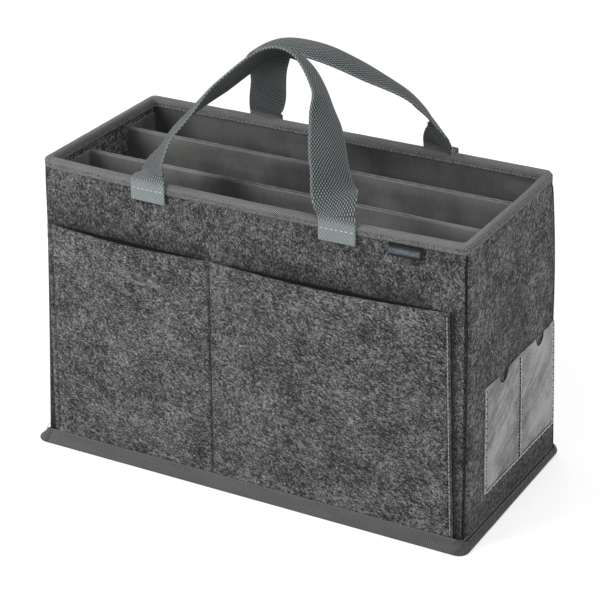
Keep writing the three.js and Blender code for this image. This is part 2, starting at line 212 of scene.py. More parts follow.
class Field:
    """A value that varies over a surface and joins in sums."""

    def __init__(self, paint, socket):
        self.paint, self.socket = paint, socket

    def __add__(self, other):
        return self.paint.calc("ADD", self, other)

    def __mul__(self, other):
        return self.paint.calc("MULTIPLY", self, other)

    def __sub__(self, other):
        return self.paint.calc("SUBTRACT", self, other)

    def __rsub__(self, other):
        return self.paint.calc("SUBTRACT", other, self)

    def __abs__(self):
        return self.paint.calc("ABSOLUTE", self)

    def or_more(self, other):
        """The larger of the two."""
        return self.paint.calc("MAXIMUM", self, other)


class Paint:
    """Builds one procedural material from fields and numbers."""

    def __init__(self, name, **constants):
        self.material = bpy.data.materials.new(name)
        self.material.use_nodes = True
        self.tree = self.material.node_tree
        self.shader = self.tree.nodes["Principled BSDF"]
        for key, value in constants.items():
            self.shader.inputs[key.replace("_", " ")].default_value = value

    def put(self, socket, value):
        if isinstance(value, Field):
            self.tree.links.new(value.socket, socket)
        else:
            socket.default_value = value

    def field(self, kind, sockets=(), out=0, **settings):
        made = self.tree.nodes.new(kind)
        for key, value in settings.items():
            setattr(made, key, value)
        for key, value in dict(sockets).items():
            self.put(made.inputs[key], value)
        return Field(self, made.outputs[out])

    def place(self):
        return self.field("ShaderNodeTexCoord", out="Object")

    def lay(self):
        return self.field("ShaderNodeAttribute", out="Vector", attribute_name="lay")

    def split(self, vector):
        outputs = self.field("ShaderNodeSeparateXYZ", {0: vector}).socket.node.outputs
        return [Field(self, socket) for socket in outputs]

    def calc(self, operation, a, b=0.0):
        return self.field("ShaderNodeMath", {0: a, 1: b}, operation=operation)

    def shift(self, vector, by, size=(1, 1, 1)):
        return self.field("ShaderNodeMapping", {"Vector": vector, "Location": by, "Scale": size})

    def noise(self, vector, scale, detail=2.0, rough=0.5):
        sockets = {"Vector": vector, "Scale": scale, "Detail": detail, "Roughness": rough}
        return self.field("ShaderNodeTexNoise", sockets, "Fac")

    def ramp(self, value, low, high, out_low=0.0, out_high=1.0):
        sockets = {"Value": value, "From Min": low, "From Max": high, "To Min": out_low,
                   "To Max": out_high}
        return self.field("ShaderNodeMapRange", sockets, interpolation_type="SMOOTHSTEP")

    def near(self, value, middle, full, none):
        """1 up to full away from the middle, and 0 from none on."""
        return self.ramp(abs(value - middle), full, none, 1.0, 0.0)

    def mix(self, share, a, b, how="MIX"):
        sockets = {0: share, 6: a, 7: b}
        return self.field("ShaderNodeMix", sockets, 2, data_type="RGBA", blend_type=how)

    def dim(self, colour, level):
        return self.mix(1.0, colour, level, "MULTIPLY")

    def wave(self, value, pitch):
        """1 at the start of each pitch and 0 halfway."""
        return self.calc("COSINE", value * (2 * math.pi / pitch)) * 0.5 + 0.5

    def finish(self, colour, rough, height=None, depth=0.3):
        self.put(self.shader.inputs["Base Color"], colour)
        self.put(self.shader.inputs["Roughness"], rough)
        if height is not None:
            bump = self.field("ShaderNodeBump", {"Height": height, "Distance": depth * MM})
            self.put(self.shader.inputs["Normal"], bump)
        return self.material


def grey(level, tint=(1, 1, 1)):
    return tuple(level * t for t in tint) + (1,)


def drawn_out(paint, place, scale, way, long, seed, detail=1.0):
    """Noise stretched along one direction; way is the turn that carries X onto it."""
    sockets = {"Vector": place, "Location": (seed, 0.7 * seed, -1.3 * seed), "Rotation": way,
               "Scale": (long, 1, 1)}
    at = paint.field("ShaderNodeMapping", sockets, vector_type="TEXTURE")
    return paint.noise(at, scale, detail, 0.55)


def scratches(paint, place, scale, way, long, width, seed):
    """A few long thin lines along one direction."""
    off = abs(drawn_out(paint, place, scale, way, long, seed, 0.0) - 0.5)
    breaks = paint.ramp(drawn_out(paint, place, scale, way, 0.4 * long, seed + 3), 0.55, 0.62)
    return paint.ramp(off, width, 0.1 * width) * breaks


def felt(name, dark, pale, way, long, fine=1.0, scratch=0.0, shaded=False):
    """Pressed felt: short dark and pale fibres, drawn out along one direction. It has painted shade at
    the foot of the end walls, and shaded felt also has painted shade beside the front pocket and at its
    mouth."""
    p = Paint(name, Sheen_Weight=0.06, Sheen_Roughness=0.6, Specular_IOR_Level=0.2)
    place = p.place()
    crossing = tuple(a + b for a, b in zip(way, (0.5, 0.55, 0.3)))
    fibres = drawn_out(p, place, 820 * fine, way, long, 1.7)
    crossed = drawn_out(p, place, 520 * fine, crossing, 1.2 * long, 4.1)
    grain = p.noise(p.shift(place, (7, 2, 4)), 900 * fine, 1.0, 0.6)
    patch = p.noise(p.shift(place, (3, 5, 1)), 150, rough=0.6)
    cloud = p.noise(place, 34, rough=0.6)
    body = fibres * 0.45 + crossed * 0.3 + grain * 0.35 + patch * 0.2 + cloud * 0.2 - 0.25
    colour = p.mix(p.ramp(body, 0.38, 0.56), grey(dark, (1, 1, 1.01)), grey(0.38 * pale))
    colour = p.mix(p.ramp(body, 0.5, 0.68), colour, grey(pale, (1, 1, 0.985)))
    hair = scratches(p, place, 150, way, 6, 0.03, 2.9)
    if scratch:
        hair = hair.or_more(scratches(p, place, 60, way, 9, 0.012, 5.3) * scratch)
    colour = p.mix(hair * 0.4, colour, grey(pale))
    x, _, z = p.split(place)
    # painted shade: the foot of the end walls is darkened towards black
    foot = p.ramp(abs(x), 0.19, 0.195) * p.ramp(z, 0.012, 0.05, 0.5, 0.0)
    colour = p.mix(foot, colour, grey(0.004))
    if shaded:
        colour = p.dim(p.dim(colour, beside_pocket(p, x, z)), pocket_mouth(p, x, z))
    return p.finish(colour, 0.95, body + hair * 0.2, 1.3)


def beside_pocket(p, x, z):
    """Shade along the slanted right edge of the front pocket."""
    past_edge = x + (z * 0.051 - 0.19105)
    return p.ramp(past_edge, MM, 9 * MM, 0.45, 1.0).or_more(p.ramp(z, 0.2, 0.212))


def pocket_mouth(p, x, z):
    """Shade behind the mouths of the front pocket's two cells and a little above them."""
    cell = p.ramp(x, (POCKET_SEAM - 6) * MM, (POCKET_SEAM + 6) * MM)
    left = p.near(x, -110 * MM, 70 * MM, 82 * MM)
    right = p.near(x, 75 * MM, 87 * MM, 105 * MM)
    behind = p.ramp(z, (POCKET_TOP - 1) * MM, (POCKET_TOP + 0.5) * MM, 0.12, 0.62)
    above = p.ramp(z, (POCKET_TOP - 2) * MM, (POCKET_TOP + 22) * MM, 0.1, 1.0)
    shade = (1.0 - behind.or_more(above)) * p.mix(cell, left, right)
    return p.ramp(shade, 0.0, 1.0, 1.0, 0.0)


def tape_cloth(name, pale, deep, ribs):
    """Binding tape: a slanted twill with fuzzy edges, or upright ribs."""
    p = Paint(name, Sheen_Weight=0.15, Sheen_Roughness=0.5, Specular_IOR_Level=0.3)
    lay = p.lay()
    along, across, _ = p.split(lay)
    wobble = p.noise(lay, 0.4) * 0.7
    fuzz = p.noise(p.shift(lay, (2, 3, 1), (1, 0.8, 1)), 1.6, 3.0, 0.7)
    cloud = p.noise(p.shift(lay, (9, 1, 4), (0.25, 1, 1)), 0.12)
    if ribs:
        line = p.wave(along + wobble, RIB_PITCH) * 0.4 + 0.3
        edge = p.ramp(across, 14.5, 12.0)
    else:
        line = p.wave(across * 1.5 + along + wobble, TWILL_PITCH)
        edge = p.ramp(across + fuzz * 1.2, 7.0, 6.0).or_more(p.ramp(across, 19.5, 21.5))
    worn = p.mix(edge, line, p.ramp(fuzz, 0.35, 0.68) * 0.75 + 0.1)
    height = worn * 0.9 + fuzz * 0.4
    # painted shade: dark slanting stripes for gathers at the right end, which is also darkened as a
    # whole
    at_right = p.ramp(p.split(p.place())[0], 0.19, 0.196)
    painted_gather_shade = (p.wave(along + across, 9.0) * 0.16 + 0.06) * at_right
    shade = cloud * 0.3 + height * 0.9 - painted_gather_shade
    colour = p.mix(p.ramp(shade, 0.3, 1.15), grey(deep), grey(pale, (1, 1, 0.99)))
    return p.finish(colour, 0.8, height, 0.4)


def lining_cloth(name, level, painted_highlight_level=0.0, corners=1.0):
    """Smooth lining cloth with a fine weave and a slight sheen. Its colour has painted shading from the
    folds, a painted drape sheen, painted light at the top and painted shade lower down; it can take a
    painted highlight near the right end and painted shade in the corners there."""
    p = Paint(name, Sheen_Weight=0.3, Sheen_Roughness=0.35, Specular_IOR_Level=0.4)
    place = p.place()
    x, y, z = p.split(place)
    weave = p.wave(x + y, 0.0011) * p.wave(z, 0.0009)
    # the folds and the drape put painted shading and painted sheen into the colour; the folds also give
    # the bump
    folds = p.noise(p.shift(place, (1, 2, 3), (1, 1, 0.6)), 24)
    slub = p.noise(p.shift(place, (4, 1, 2), (1, 1, 0.3)), 420)
    painted_drape_sheen = p.noise(p.shift(place, (6, 2, 8), (0.25, 1, 1.6)), 30)
    # painted light: lighter towards the top
    top = p.ramp(z, 0.2, 0.252, 0.0, 0.2)
    # painted highlight near the right end
    painted_highlight = p.near(x, 0.17, 0.004, 0.024) * p.near(z, 0.246, 0.001, 0.008) * painted_highlight_level
    shade = folds * 0.85 + slub * 0.22 + weave * 0.2 + (painted_drape_sheen - 0.5) * 0.9 + top + painted_highlight
    colour = p.mix(p.ramp(shade, 0.35, 1.15), grey(0.5 * level), grey(1.6 * level, (1, 1, 0.97)))
    # painted shade: darker lower down, and in the right corners when corners is below 1
    deep = p.ramp(z, 0.13, 0.24, 0.45, 1.0) * p.ramp(x, 0.176, 0.191, 1.0, corners)
    height = weave * 0.2 + slub * 0.3 + folds * 4
    return p.finish(p.dim(colour, deep), p.ramp(folds, 0.3, 0.7, 0.5, 0.62), height, 0.3)


def webbing_cloth(name):
    """Woven webbing: raised picks in a brick lattice over dark gaps, paler along both edges, with
    painted light on the part that is sewn down and painted shade on the inner face."""
    p = Paint(name, Sheen_Weight=0.12, Sheen_Roughness=0.5, Specular_IOR_Level=0.35)
    lay = p.lay()
    along, across, facing = p.split(lay)
    pick = p.calc("COSINE", across * (2 * math.pi / PICK_ACROSS))
    pick = p.ramp(pick * p.calc("COSINE", along * (2 * math.pi / PICK_ALONG)), -0.25, 0.7)
    yarn = p.noise(p.shift(lay, (3, 1, 2), (0.5, 3, 1)), 1.3, 3.0, 0.6)
    cloud = p.noise(p.shift(lay, (5, 9, 1)), 0.07)
    pale_edges = p.ramp(abs(across), 16.4, 18.0, 0.0, 0.3)
    # painted light: the sewn-down tabs are paler
    sewn = p.ramp(p.split(p.place())[2], 0.262, 0.272, 0.6, 0.0)
    shade = pick * 0.85 + yarn * 0.25 + cloud * 0.15 + pale_edges.or_more(sewn)
    colour = p.mix(p.ramp(shade, 0.2, 1.25), (0.014, 0.018, 0.02, 1), (0.236, 0.264, 0.27, 1))
    # painted shade: the inner face is darker
    colour = p.dim(colour, p.ramp(facing, -0.5, 0.5, 0.62, 1.0))
    return p.finish(colour, 0.65, pick * 0.8 + yarn * 0.3, 0.45)


def leatherette_skin(name):
    """Coated cloth with a fine pebbled grain, painted highlights in slanting streaks, broad painted
    light and shade, and painted light towards the back.
    """
    p = Paint(name, Specular_IOR_Level=0.5, Sheen_Weight=0.05)
    place = p.place()
    pebble = p.field("ShaderNodeTexVoronoi", {"Vector": place, "Scale": 900.0}, "Distance")
    wear = p.noise(place, 60, 4.0, 0.65)
    # painted highlights in slanting streaks, and broad painted light and shade
    painted_streaks = drawn_out(p, place, 200, (0, 0.45, -1.571), 5, 3.1, 2.0)
    painted_broad_light = drawn_out(p, place, 30, (0, 0.6, -1.571), 2, 6.2)
    speck = p.noise(p.shift(place, (2, 6, 1)), 700)
    # painted light: lighter towards the back
    towards_back = p.ramp(p.split(place)[1], 0.0, 0.05, -0.03, 0.05)
    shade = painted_streaks * 0.35 + speck * 0.3 + painted_broad_light * 0.5 + wear * 0.4 + towards_back
    colour = p.mix(p.ramp(shade, 0.62, 0.92), (0.115, 0.116, 0.119, 1), (0.37, 0.37, 0.373, 1))
    rough = p.ramp(wear, 0.3, 0.7, 0.38, 0.52)
    return p.finish(colour, rough, speck * 0.4 - pebble * 0.8, 0.12)


def label_cloth(name):
    """Folded satin label, left blank, lit along its fold."""
    p = Paint(name, Specular_IOR_Level=0.25, Sheen_Weight=0.05, Sheen_Roughness=0.3)
    lay = p.lay()
    along, across, _ = p.split(lay)
    weave = p.wave(along, 0.5) * p.wave(across, 0.35)
    worn = p.noise(p.shift(lay, (1, 2, 3), (0.4, 1.2, 1)), 0.8, 3.0, 0.7)
    to_right = p.ramp(along, LABEL_MIDDLE + 11, LABEL_MIDDLE + 13.5, 1.0, 0.1)
    sheen = p.ramp(weave * 0.3 + worn, 0.35, 0.85, 0.25, 1.0)
    lit = p.near(across, 251.0, 0.6, 3.8) * to_right * sheen
    colour = p.mix(lit, (0.003, 0.0035, 0.004, 1), (0.16, 0.185, 0.215, 1))
    return p.finish(colour, p.ramp(worn, 0.3, 0.7, 0.5, 0.65), weave + worn, 0.12)


def thread(name, level):
    """Twisted sewing thread."""
    p = Paint(name, Specular_IOR_Level=0.4, Sheen_Weight=0.2)
    twist = p.noise(p.place(), 1600, 1.0)
    colour = p.mix(p.ramp(twist, 0.35, 0.65), grey(0.75 * level), grey(1.2 * level))
    return p.finish(colour, 0.6, twist, 0.05)


def board_stuff(name):
    """Plain grey-brown stiffening board."""
    p = Paint(name, Specular_IOR_Level=0.3)
    pulp = p.noise(p.place(), 240, 4.0, 0.7)
    colour = p.mix(p.ramp(pulp, 0.3, 0.7), (0.19, 0.17, 0.145, 1), (0.29, 0.265, 0.23, 1))
    return p.finish(colour, 0.85, pulp, 0.08)


# Mesh helper

def add_mesh(name, points, faces, lay, sharp):
    """points are in millimetres; lay gives each point its place along and across its cloth, and
    edges bent by more than sharp degrees stay crisp, unless it is 0."""
    mesh = bpy.data.meshes.new(name)
    mesh.from_pydata((np.asarray(points, float) * MM).tolist(), [], [list(f) for f in faces])
    attribute = mesh.attributes.new("lay", "FLOAT_VECTOR", "POINT")
    attribute.data.foreach_set("vector", np.asarray(lay, np.float32).ravel())
    mesh.validate()
    mesh.polygons.foreach_set("use_smooth", [True] * len(mesh.polygons))
    if sharp:
        mesh.set_sharp_from_angle(angle=math.radians(sharp))
    obj = bpy.data.objects.new(name, mesh)
    bpy.context.collection.objects.link(obj)
    return obj


def dress(obj, material, body="case", replaces=()):
    obj.data.materials.append(material)
    if replaces:
        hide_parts(*replaces)
    if body:
        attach(obj, body)
    return obj


def quads(rows, columns, first=0, wrap=False):
    """Faces of a grid of points stored row by row; wrap joins the last column to the first."""
    faces = []
    for r in range(rows - 1):
        for c in range(columns if wrap else columns - 1):
            d = (c + 1) % columns
            a, b = first + r * columns, first + (r + 1) * columns
            faces.append((a + c, a + d, b + d, b + c))
    return faces


def border(rows, columns):
    """Row and column of each point round the edge of a grid, in order."""
    loop = [(0, c) for c in range(columns)]
    loop += [(r, columns - 1) for r in range(1, rows)]
    loop += [(rows - 1, c) for c in range(columns - 2, -1, -1)]
    return loop + [(r, 0) for r in range(rows - 2, 0, -1)]


def outward_steps(points, loop):
    """A unit step away from the grid at each point of its edge, and two at a corner."""
    rows, columns = points.shape[:2]
    found = []
    for r, c in loop:
        out = np.zeros(3)
        inward = ((r == 0, 1, 0), (r == rows - 1, -1, 0), (c == 0, 0, 1),
                  (c == columns - 1, 0, -1))
        for edge, down, over in inward:
            if edge:
                way = points[r, c] - points[r + down, c + over]
                out += way / max(np.linalg.norm(way), 1e-9)
        found.append(out)
    return found


def slab(outer, inner, lay, radius, fray=0.0, seed=0.0, flip=False):
    """A closed sheet between two grids of points, with its cut edges rounded to the radius and
    frayed; flip turns its faces over. Returns points, faces and lay."""
    outer, inner, lay = (np.array(a, float)[:, ::-1 if flip else 1] for a in (outer, inner, lay))
    rows, columns = outer.shape[:2]
    loop = border(rows, columns)
    through = inner - outer
    depth = np.linalg.norm(through, axis=2, keepdims=True)
    through /= np.maximum(depth, 1e-6)
    outward = outward_steps(outer, loop)
    reach = min(radius, 0.49 * float(depth.min()))
    profile = [(0.0, 0.0)]
    profile += [(reach * math.sin(a), reach * (1 - math.cos(a))) for a in EDGE_ANGLES]
    rings = []
    for front in (True, False):
        for out_by, deep in (profile if front else profile[::-1]):
            ring = []
            for (r, c), step in zip(loop, outward):
                at = outer[r, c] + through[r, c] * (deep if front else depth[r, c, 0] - deep)
                at = at + step * (out_by - reach)
                if fray and out_by:
                    frayed = noise.noise(Vector(at) * 0.9 + Vector((seed, 0, 0))) - 0.3
                    at = at + step * fray * frayed
                ring.append(at)
            rings.append(ring)
    for (r, c), first, last in zip(loop, rings[0], rings[-1]):
        outer[r, c], inner[r, c] = first, last
    count = rows * columns
    points = [*outer.reshape(-1, 3), *inner.reshape(-1, 3)]
    laid = [*lay.reshape(-1, 3), *lay.reshape(-1, 3)]
    faces = [f[::-1] for f in quads(rows, columns)] + quads(rows, columns, count)
    ids = [[r * columns + c for r, c in loop]]
    for ring in rings[1:-1]:
        ids.append(list(range(len(points), len(points) + len(ring))))
        points += ring
        laid += [lay[r, c] for r, c in loop]
    ids.append([count + i for i in ids[0]])
    for here, after in zip(ids, ids[1:]):
        for k in range(len(loop)):
            m = (k + 1) % len(loop)
            faces.append((here[k], here[m], after[m], after[k]))
    return np.array(points), faces, np.array(laid)


def joined(parts):
    """Several (points, faces, lay) as one."""
    points, faces, lay, count = [], [], [], 0
    for p, f, l in parts:
        points.append(p)
        lay.append(l)
        faces += [tuple(i + count for i in face) for face in f]
        count += len(p)
    return np.concatenate(points), faces, np.concatenate(lay)


def ripple(points, pitch, seed, stretch=(1, 1, 1)):
    """Smooth noise from about -1 to 1 at each point."""
    sx, sy, sz = Vector(stretch) / pitch
    flat = np.asarray(points, float).reshape(-1, 3)
    values = [noise.noise(Vector((p[0] * sx + seed, p[1] * sy, p[2] * sz))) for p in flat]
    return np.array(values).reshape(np.shape(points)[:-1])


def run(points):
    """How far along a line of points each of them is."""
    return np.concatenate([[0], np.cumsum(np.linalg.norm(np.diff(points, axis=0), axis=1))])


def stitches(path, normals, long, gap, thick, zigzag=0.0):
    """Short rounded stitches laid end to end along a path; returns points, faces and lay."""
    path, normals = np.asarray(path, float), np.asarray(normals, float)
    lengths = run(path)
    count = max(int(lengths[-1] / (long + gap)), 1)
    pitch = lengths[-1] / count
    read = lambda s, line: np.array([np.interp(s, lengths, line[:, k]) for k in range(3)])
    parts = []
    for i in range(count):
        s0, s1 = i * pitch + gap / 2, (i + 1) * pitch - gap / 2
        a, b = read(s0, path), read(s1, path)
        up = read((s0 + s1) / 2, normals)
        up /= np.linalg.norm(up)
        way = b - a
        side = np.cross(up, way / np.linalg.norm(way))
        if zigzag:
            a, b = a - side * zigzag, b + side * zigzag
            way = b - a
            side = np.cross(up, way / np.linalg.norm(way))
        points = []
        for share, girth, rise in STITCH_SECTIONS:
            centre = a + way * share + up * (thick * rise - STITCH_SINK)
            for angle in 2 * np.pi * np.arange(STITCH_SIDES) / STITCH_SIDES:
                points.append(centre + thick * girth * (side * math.cos(angle) + up * math.sin(angle)))
        faces = quads(len(STITCH_SECTIONS), STITCH_SIDES, wrap=True)
        faces.append(tuple(range(STITCH_SIDES))[::-1])
        faces.append(tuple(range(len(points) - STITCH_SIDES, len(points))))
        parts.append((np.array(points), faces, np.zeros((len(points), 3))))
    return joined(parts)


# The case's faces

def half_length(z):
    return BODY_LENGTH / 2 - END_LEAN * z / BODY_HEIGHT


def half_depth(z):
    return BODY_DEPTH / 2 - LONG_LEAN * z / BODY_HEIGHT


def front_bow(x, z):
    share = np.minimum(np.abs(x) / half_length(z), 1)
    return FRONT_BOW * (z / BODY_HEIGHT) * (1 - share * share)


def long_face(side, x, z, inset):
    bow = front_bow(x, z) if side < 0 else 0 * x
    return side * (half_depth(z) + bow - inset)


def at_face(side, x, z, inset):
    """Points this far in from the outer face of the front or back wall."""
    return stack(x, long_face(side, x, z, inset), z)


def grid(rows, columns):
    """Two arrays, rows by columns, of row and column values."""
    return np.meshgrid(rows, columns, indexing="ij")


def steps(start, end, count):
    return np.linspace(start, end, count + 1)


def stack(x, y, z):
    x, y, z = np.broadcast_arrays(x, y, z)
    return np.stack([x, y, z], axis=-1)


def lay_of(u, v):
    return stack(u, v, np.zeros_like(u * v))


def unit(values):
    return np.clip(values, 0, 1)


def arch(share):
    """0 at both ends, at shares 0 and 1, and 1 in the middle."""
    return np.sin(np.pi * share)


def bell(distance, width):
    """1 on a line, and next to 0 from twice the width away."""
    return np.exp(-(distance / width) ** 2)


def pinch(z):
    """How far the rim tape draws the felt in on the long walls."""
    return 0.5 * unit((z - 238) / 20) ** 2


def drawn_in(x, y, z):
    """How far the case's back right corner leans in at the rim."""
    return 2.8 * unit((z - 251) / 13) * unit((y - 35) / 55) * unit((x - 170) / 22)


def end_swell(side, y, z):
    """The right end wall bellies out, most at the foot of its back edge, and the left one is
    slightly hollow."""
    belly = arch(z / BODY_HEIGHT)
    rear = unit((y + 90) / 180)
    low = unit(1 - z / 131) * unit((z - 2) / 7) * rear
    high = arch(unit((z - 130) / 130)) * rear
    left = -0.7 * belly + 1.2 * unit((z - 200) / 50)
    right = 1.8 * belly + 3.2 * low + 1.2 * high - drawn_in(BODY_LENGTH / 2, y, z)
    return np.where(np.asarray(side) > 0, right, left)


def felt_long_wall(side):
    """Front or back wall: it wraps the corners, and its upright cut edges show at the ends."""
    r = CORNER_RADIUS
    ends = np.ones(CORNER_STEPS)
    shares = np.concatenate([0 * ends, steps(0, 1, WALL_STEPS), ends])
    z, share = grid(steps(BASE_FELT + SEAT, FELT_TOP, 44), shares)
    half = half_length(z)
    x = (half - r) * (2 * share - 1)
    tuck = np.zeros_like(x)
    for k, a in enumerate(np.radians(steps(0, 90, CORNER_STEPS))[1:]):
        left, right = CORNER_STEPS - 1 - k, CORNER_STEPS + WALL_STEPS + 1 + k
        x[:, left] = -half[:, 0] + r - r * math.sin(a)
        x[:, right] = half[:, 0] - r + r * math.sin(a)
        tuck[:, left] = tuck[:, right] = r * (1 - math.cos(a))
    bend = unit((np.abs(x) / half - 0.9) / 0.1) * np.sign(x)
    swelled = x + bend * end_swell(np.sign(x), side * 90, z)
    outer = stack(swelled, long_face(side, x, z, tuck + pinch(z)), z)
    swell = 0.25 * ripple(outer, 26, 3 * side)
    outer[..., 1] += side * np.where(tuck > 0, 0, swell)
    near = np.hypot(np.abs(outer[..., 0]) - half, outer[..., 1] - side * half_depth(z))
    sunk = GROOVE_DEPTH * bell((near - GROOVE_AT).clip(0), GROOVE_WIDTH)
    outer[..., 0] -= np.sign(x) * 0.7 * sunk
    outer[..., 1] -= side * 0.7 * sunk
    inner = at_face(side, x, z, WALL_FELT)
    return slab(outer, inner, lay_of(x, z), 0.2, 0.2, side, flip=side > 0)


def felt_end_wall(side):
    fine = np.concatenate([steps(0, 0.03, 6), steps(0.03, 0.97, 40)[1:-1], steps(0.97, 1, 6)])
    z, share = grid(steps(BASE_FELT + SEAT, FELT_TOP, 44), fine)
    x = side * half_length(z)
    front, back = (long_face(end, x, z, INNER_FACE) for end in (-1, 1))
    y = front + (back - front) * share
    outer = stack(x + side * end_swell(side, y, z), y, z)
    from_edge = np.minimum(y - front, back - y)
    outer[..., 0] += side * np.where(from_edge < 4, 0, 0.25 * ripple(outer, 24, 9 + side))
    outer[..., 0] -= side * 0.4 * bell(from_edge, 1)
    inner = stack(side * (half_length(z) - WALL_FELT), y, z)
    return slab(outer, inner, lay_of(y, z), 0.9, 0.2, 4 + side, flip=side < 0)


def floor_sheet(z_low, z_high, x, y, seed, swell):
    v, u = grid(steps(-y, y, 24), steps(-x, x, 50))
    top = stack(u, v, z_high)
    top[..., 2] += swell * ripple(top, 60, seed)
    return slab(top, stack(u, v, z_low), lay_of(u, v), 0.3)


def wall_lining(side):
    z, share = grid(steps(INSIDE_FOOT, FELT_TOP, 40), steps(-1, 1, 110))
    x = (half_length(z) - INNER_FACE) * share
    against = at_face(side, x, z, INNER_FACE)
    free = at_face(side, x, z, INNER_FACE + CLOTH)
    hang = arch((z - INSIDE_FOOT) / (FELT_TOP - 14 - INSIDE_FOOT)).clip(0, 1) ** 0.6
    loose = arch((share + 1) / 2) ** 0.3
    folds = 0.75 * ripple(free, 30, 5 * side, (1, 1, 0.22))
    puff = 0.55 + folds + 0.3 * ripple(free, 11, 7, (1, 1, 0.3))
    for face in (free, against):
        face[..., 1] -= side * hang * loose * np.maximum(puff, 0)
    return slab(free, against, lay_of(x, z), 0.25, flip=side < 0)


# Bindings

def ring_stations(wall_steps, corner_steps):
    """Stations round the case, as in part.mjs: (side x, side y, angle or None, share)."""
    found = []
    walls = ((0, -1, 1, wall_steps), (1, 0, 1, wall_steps // 2), (0, 1, -1, wall_steps),
             (-1, 0, -1, wall_steps // 2))
    corners = ((1, -1, 270), (1, 1, 0), (-1, 1, 90), (-1, -1, 180))
    for (wx, wy, way, count), (cx, cy, start) in zip(walls, corners):
        found += [(wx, wy, None, share) for share in steps(-way, way, count)[1:-1]]
        found += [(cx, cy, math.radians(a), 0) for a in steps(start, start + 90, corner_steps)]
    return found


def binding_point(station, end, front, back, z, radius):
    sx, sy, angle, share = station
    hx = half_length(z) + end
    low, high = -(half_depth(z) + front), half_depth(z) + back
    if angle is not None:
        x = sx * (hx - radius) + radius * math.cos(angle)
        y = (low + radius if sy < 0 else high - radius) + radius * math.sin(angle)
    elif sy:
        x, y = share * (hx - radius), low if sy < 0 else high
    else:
        x = sx * hx
        y = (low + radius) + (high - low - 2 * radius) * (share + 1) / 2
    bow = front_bow(x, z) if sy < 0 else 0
    return np.array([x - drawn_in(x, y, z), y - bow, z])


def sweep(section, stations, wander):
    """A closed section, given as (end, front, back, z, radius), carried round the case and then
    loosened by wander."""
    rings = np.array([[binding_point(s, *p) for p in section] for s in stations])
    lay = lay_of(*grid(run(rings.mean(axis=1)), run(rings[3])))
    rings = wander(rings)
    rows, columns = rings.shape[:2]
    faces = quads(rows, columns, wrap=True)
    last = (rows - 1) * columns
    for c in range(columns):
        d = (c + 1) % columns
        faces.append((last + c, last + d, d, c))
    return rings.reshape(-1, 3), faces, lay.reshape(-1, 3)


def rim_tape():
    """Tape folded over the rim, with a rounded top and edges that hug the felt."""
    low = BODY_HEIGHT - RIM_TAPE_DROP
    out, hug, top = SEAT + TAPE, 0.9, 3.2
    corner = CORNER_RADIUS + out + 1.2

    def leaf(share, z):
        """share 0 is the outer leaf and 1 the inner leaf."""
        long = out - (out + LINING_FACE + TAPE) * share
        end = out - (out + WALL_FELT + SEAT + TAPE) * share
        return end, long, long, z, max(corner - 8 * share, 3.5)

    def within(depth, rise):
        offset = out - depth
        return offset, offset, offset, low + rise, corner - depth

    section = [within(out + 0.4, 0.3), within(out, 0), within(0.9, 0), within(hug - 0.2, 0.3)]
    section += [within(share * (hug - 0.3), rise) for share, rise in ((0.7, 1.6), (0.3, 3), (0, 4.4))]
    for a in np.radians(steps(0, 180, 14)):
        section.append(leaf((1 - math.cos(a)) / 2, BODY_HEIGHT - top + top * math.sin(a)))
    section += [leaf(1, low + z) for z in (4, 2.5, 1, 0.3)]
    section += [leaf(0.95, low), leaf(0.86, low), leaf(0.84, low + 0.4)]
    section += [leaf(0.84, BODY_HEIGHT - 2.4), leaf(0.2, BODY_HEIGHT - 2.4)]

    def wander(rings):
        away = rings - rings.mean(axis=1, keepdims=True)
        away[..., 2] = 0
        away = away / np.maximum(np.linalg.norm(away, axis=2, keepdims=True), 0.4)
        moved = rings + away * (0.16 * ripple(rings, 9, 2.2))[..., None]
        moved[..., 2] += 0.15 * ripple(rings, 14, 6.1)
        ragged = np.abs(rings[..., 2] - low) < 0.5
        moved[..., 2] += np.where(ragged, 0.28 * ripple(rings, 2.1, 9.4), 0)
        return moved

    return sweep(section, ring_stations(220, 10), wander)


def foot_tape():
    """Tape round the foot: it spreads from the walls to a rounded edge on the floor."""
    front = SEAT + POCKET_FELT + SEAT
    r = FOOT_EDGE_RADIUS

    def outer(back, z, bulge=0.0):
        long = FOOT_OVERHANG_LONG - back + bulge
        return FOOT_OVERHANG_END - back + bulge, long, long, z, FOOT_CORNER_RADIUS - back

    def mixed(share, bulge):
        """Between the top of the tape, 0, and its widest line near the floor, 1."""
        top = (0.7, front + 0.7, 0.7, FOOT_TAPE_HEIGHT, CORNER_RADIUS + SEAT + TAPE)
        *offsets, z, radius = (a + (b - a) * share for a, b in zip(top, outer(0, r)))
        return *(offset + bulge for offset in offsets), z, radius

    section = [(SEAT, front, SEAT, z, CORNER_RADIUS + SEAT) for z in (0, FOOT_TAPE_HEIGHT - 0.3)]
    section += [(SEAT + 0.3, front + 0.3, SEAT + 0.3, FOOT_TAPE_HEIGHT, CORNER_RADIUS + SEAT)]
    section += [mixed(share, bulge) for share, bulge in FOOT_BULGES]
    for a in np.radians((0, 25, 50, 72, 90)):
        section.append(outer(r - r * math.cos(a), r - r * math.sin(a)))
    section += [outer(r + 3, 0.0)]

    def wander(rings):
        moved = rings.copy()
        moved[..., :2] *= 1 + 0.0006 * ripple(rings, 22, 1.4)[..., None]
        x, y, z = rings[..., 0], rings[..., 1], rings[..., 2]
        out_x, out_y = np.abs(x) - half_length(z), np.abs(y) - half_depth(z)
        at_end = unit((out_x - out_y) / 10 + 0.5)
        moved[..., 2] -= 0.5 * at_end * np.clip(z - 3, 0, None)
        moved[..., 0] -= 3.0 * unit((-x - 150) / 50) * unit((10 - z) / 8)
        moved[..., 0] += end_swell(1, y, z) * unit((x - 150) / 45)
        return moved

    return sweep(section, ring_stations(150, 10), wander)


# Dividers

